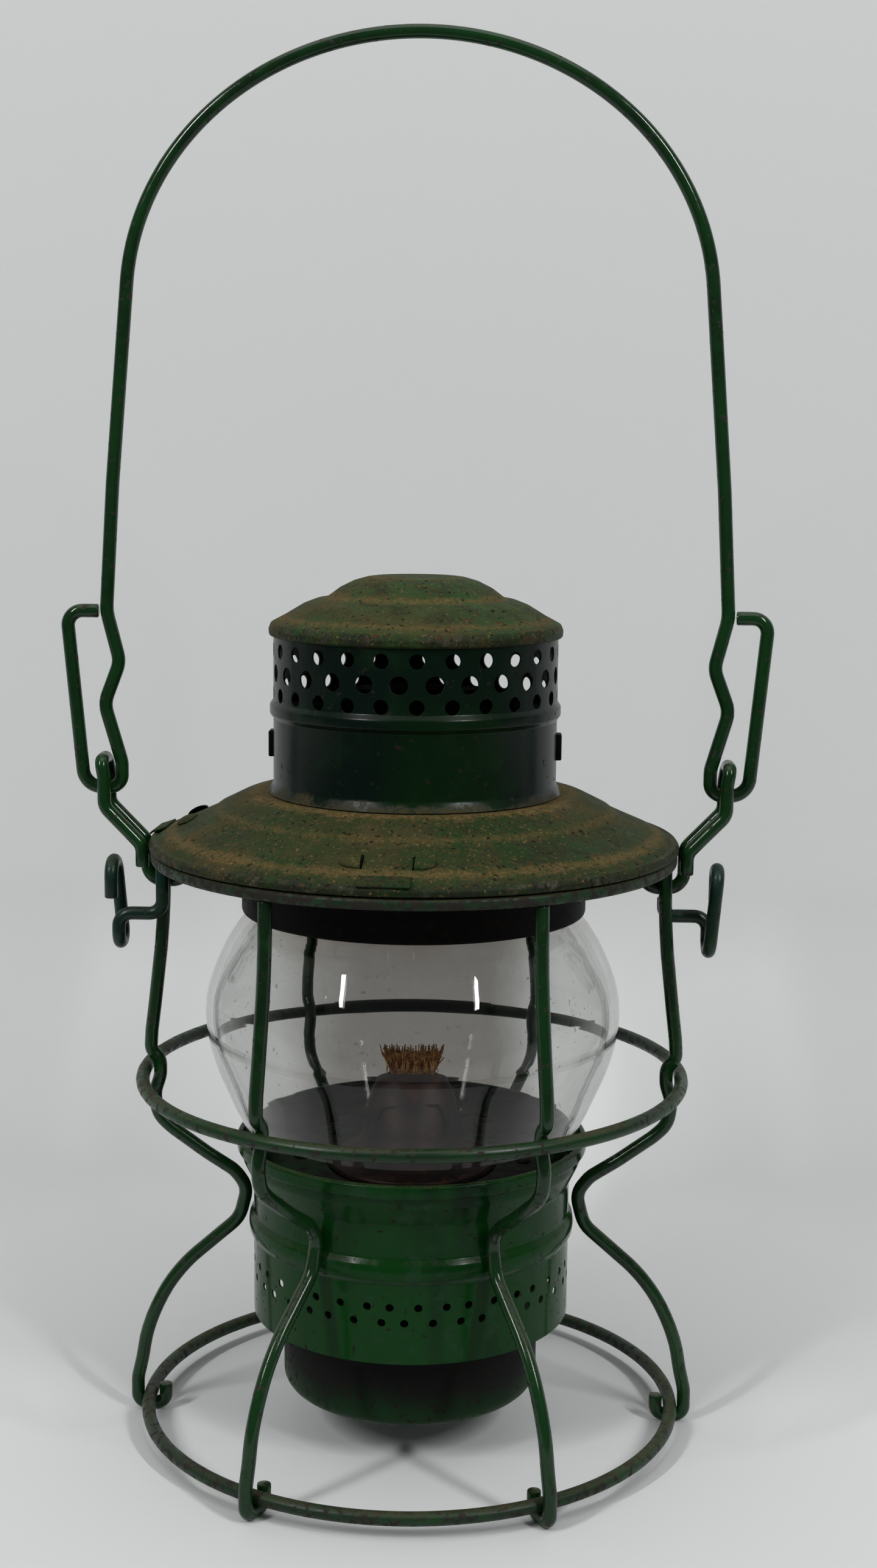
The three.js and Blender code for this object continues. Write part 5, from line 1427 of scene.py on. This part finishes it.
# %% [markdown]
# ## Wick
#
# The wick is a flat woven strap. Where it leaves the burner it spreads and frays, so its top is a
# slightly ragged slab, with loose fibres set along it: each is a few-sided bent hair, leaning out
# more towards the sides, and some droop over the burner's lip. All of them come from one seeded draw.

# %% Weave the wick and fray its top
WICK_W, WICK_T, WICK_LOW, WICK_HIGH = 13.4, 2.0, 30.2, 120.0
FRAY_FROM, FRAY_SPREAD, FRAY_THICKEN, FRAY_RAG = 112.0, 1.18, 0.35, 0.3
WICK_HEIGHTS = [60.0, 90.0, 106.0, FRAY_FROM, 113.8, 115.6, 117.2, 118.6, WICK_HIGH]
FIBRES, DROOPING = 190, 60
FIBRE_SIDES, FIBRE_BEND_R, FIBRE_NECK_Z = 5, 0.8, 116.6

wick = bmesh.new()
bmesh.ops.create_grid(wick, x_segments=28, y_segments=4, size=0.5)
bmesh.ops.scale(wick, verts=wick.verts, vec=(WICK_W * MM, WICK_T * MM, 1))
bmesh.ops.translate(wick, verts=wick.verts, vec=(0, 0, WICK_LOW * MM))
layer, below = wick.faces[:], WICK_LOW
for height in WICK_HEIGHTS:
    grown = bmesh.ops.extrude_face_region(wick, geom=layer)
    layer = [item for item in grown["geom"] if isinstance(item, bmesh.types.BMFace)]
    bmesh.ops.translate(wick, verts=verts_of(grown["geom"]), vec=(0, 0, (height - below) * MM))
    stale = [
        face for face in wick.faces
        if face not in layer and abs(face.normal.z) > 0.9
        and abs(face.calc_center_median().z - below * MM) < 0.01 * MM and below > WICK_LOW
    ]
    bmesh.ops.delete(wick, geom=stale, context="FACES_ONLY")
    below = height
draw = random.Random(11)
for vert in wick.verts:
    above = max(vert.co.z / MM - FRAY_FROM, 0) / (WICK_HIGH - FRAY_FROM)
    vert.co.x *= 1 + above * (FRAY_SPREAD - 1)
    vert.co.y *= 1 + above * FRAY_THICKEN
    if above > 0:
        vert.co += Vector([draw.uniform(-FRAY_RAG, FRAY_RAG) * MM for _ in range(3)])
outward(wick)


def add_fibre(corners, thinnest, thickest):
    join_into(wick, bent_wire(corners, FIBRE_BEND_R, draw.uniform(thinnest, thickest), FIBRE_SIDES))


for _ in range(FIBRES):
    x = draw.uniform(-0.5, 0.5) * WICK_W * FRAY_SPREAD
    y = draw.uniform(-0.5, 0.5) * WICK_T * 1.2
    lean = x / WICK_W * 2.6 + draw.uniform(-1.3, 1.3)
    tip_z = WICK_HIGH + draw.uniform(-1.6, 2.4)
    add_fibre([
        (x * 0.86, y, draw.uniform(112.5, 115.5)), (x + lean * 0.2, y * 1.5, FIBRE_NECK_Z),
        (x + lean * 0.6, y * 1.9 + draw.uniform(-0.4, 0.4), (tip_z + FIBRE_NECK_Z) / 2),
        (x + lean, y * 2.2 + draw.uniform(-0.7, 0.7), tip_z),
    ], 0.14, 0.26)
for _ in range(DROOPING):
    x, face = draw.uniform(-0.5, 0.5) * WICK_W * FRAY_SPREAD, draw.choice((1, -1))
    lean, reach = draw.uniform(-1.6, 1.6), draw.uniform(3.6, 5.4)
    add_fibre([
        (x, face * 0.6, 116.2), (x + lean * 0.3, face * 2.2, draw.uniform(117.0, 118.4)),
        (x + lean * 0.8, face * (reach - 0.6), 116.0), (x + lean, face * reach, draw.uniform(113.9, 115.2)),
    ], 0.16, 0.28)
settle(wick, "wick_frayed", "wick", wick_cotton)

# %% [markdown]
# ## Light
#
# Two tall narrow soft boxes stand left and right of the camera, which is what the globe's two bright
# marks show. Both lean outwards a little, because those marks are upright. A broad panel overhead
# lights the lid and the floor. The room itself stays dim, so that black and dark green paint keep
# their depth.

# %% Set up the lamps and the room's own light
AIM = Vector((0, 0, 0.16))
BOX_SIZE, BOX_WATTS, BOX_ROLL = (0.065, 0.75), 16, math.radians(22)
PANEL_SIZE, PANEL_WATTS = (1.4, 1.0), 7
ROOM_COLOR, ROOM_STRENGTH = (0.93, 0.96, 1.0), 0.13


def area_lamp(name, place, size, watts, roll=0.0):
    data = bpy.data.lights.new(name, "AREA")
    data.shape = "RECTANGLE"
    data.size, data.size_y = size
    data.energy = watts
    lamp = bpy.data.objects.new(name, data)
    lamp.location = place
    facing = (AIM - Vector(place)).to_track_quat("-Z", "Y").to_matrix()
    lamp.rotation_euler = (facing @ Matrix.Rotation(roll, 3, "Z")).to_euler()
    bpy.context.scene.collection.objects.link(lamp)


area_lamp("left_box", (-1.08, -1.08, 1.35), BOX_SIZE, BOX_WATTS, BOX_ROLL)
area_lamp("right_box", (1.08, -1.08, 1.35), BOX_SIZE, BOX_WATTS, -BOX_ROLL)
area_lamp("overhead", (0, -0.3, 1.7), PANEL_SIZE, PANEL_WATTS)

world = bpy.data.worlds.new("pale_room")
world.use_nodes = True
world.node_tree.nodes["Background"].inputs["Color"].default_value = (*ROOM_COLOR, 1)
world.node_tree.nodes["Background"].inputs["Strength"].default_value = ROOM_STRENGTH
bpy.context.scene.world = world
bpy.context.scene.view_settings.view_transform = "Standard"
print("lamps:", [lamp.name for lamp in bpy.data.lights])

# %% Measure and finish
bpy.context.view_layer.update()
low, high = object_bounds()
grown = [round((new - old) / MM, 2) for new, old in zip((*low, *high), (*cad_low, *cad_high))]
print("grew by (mm):", grown)
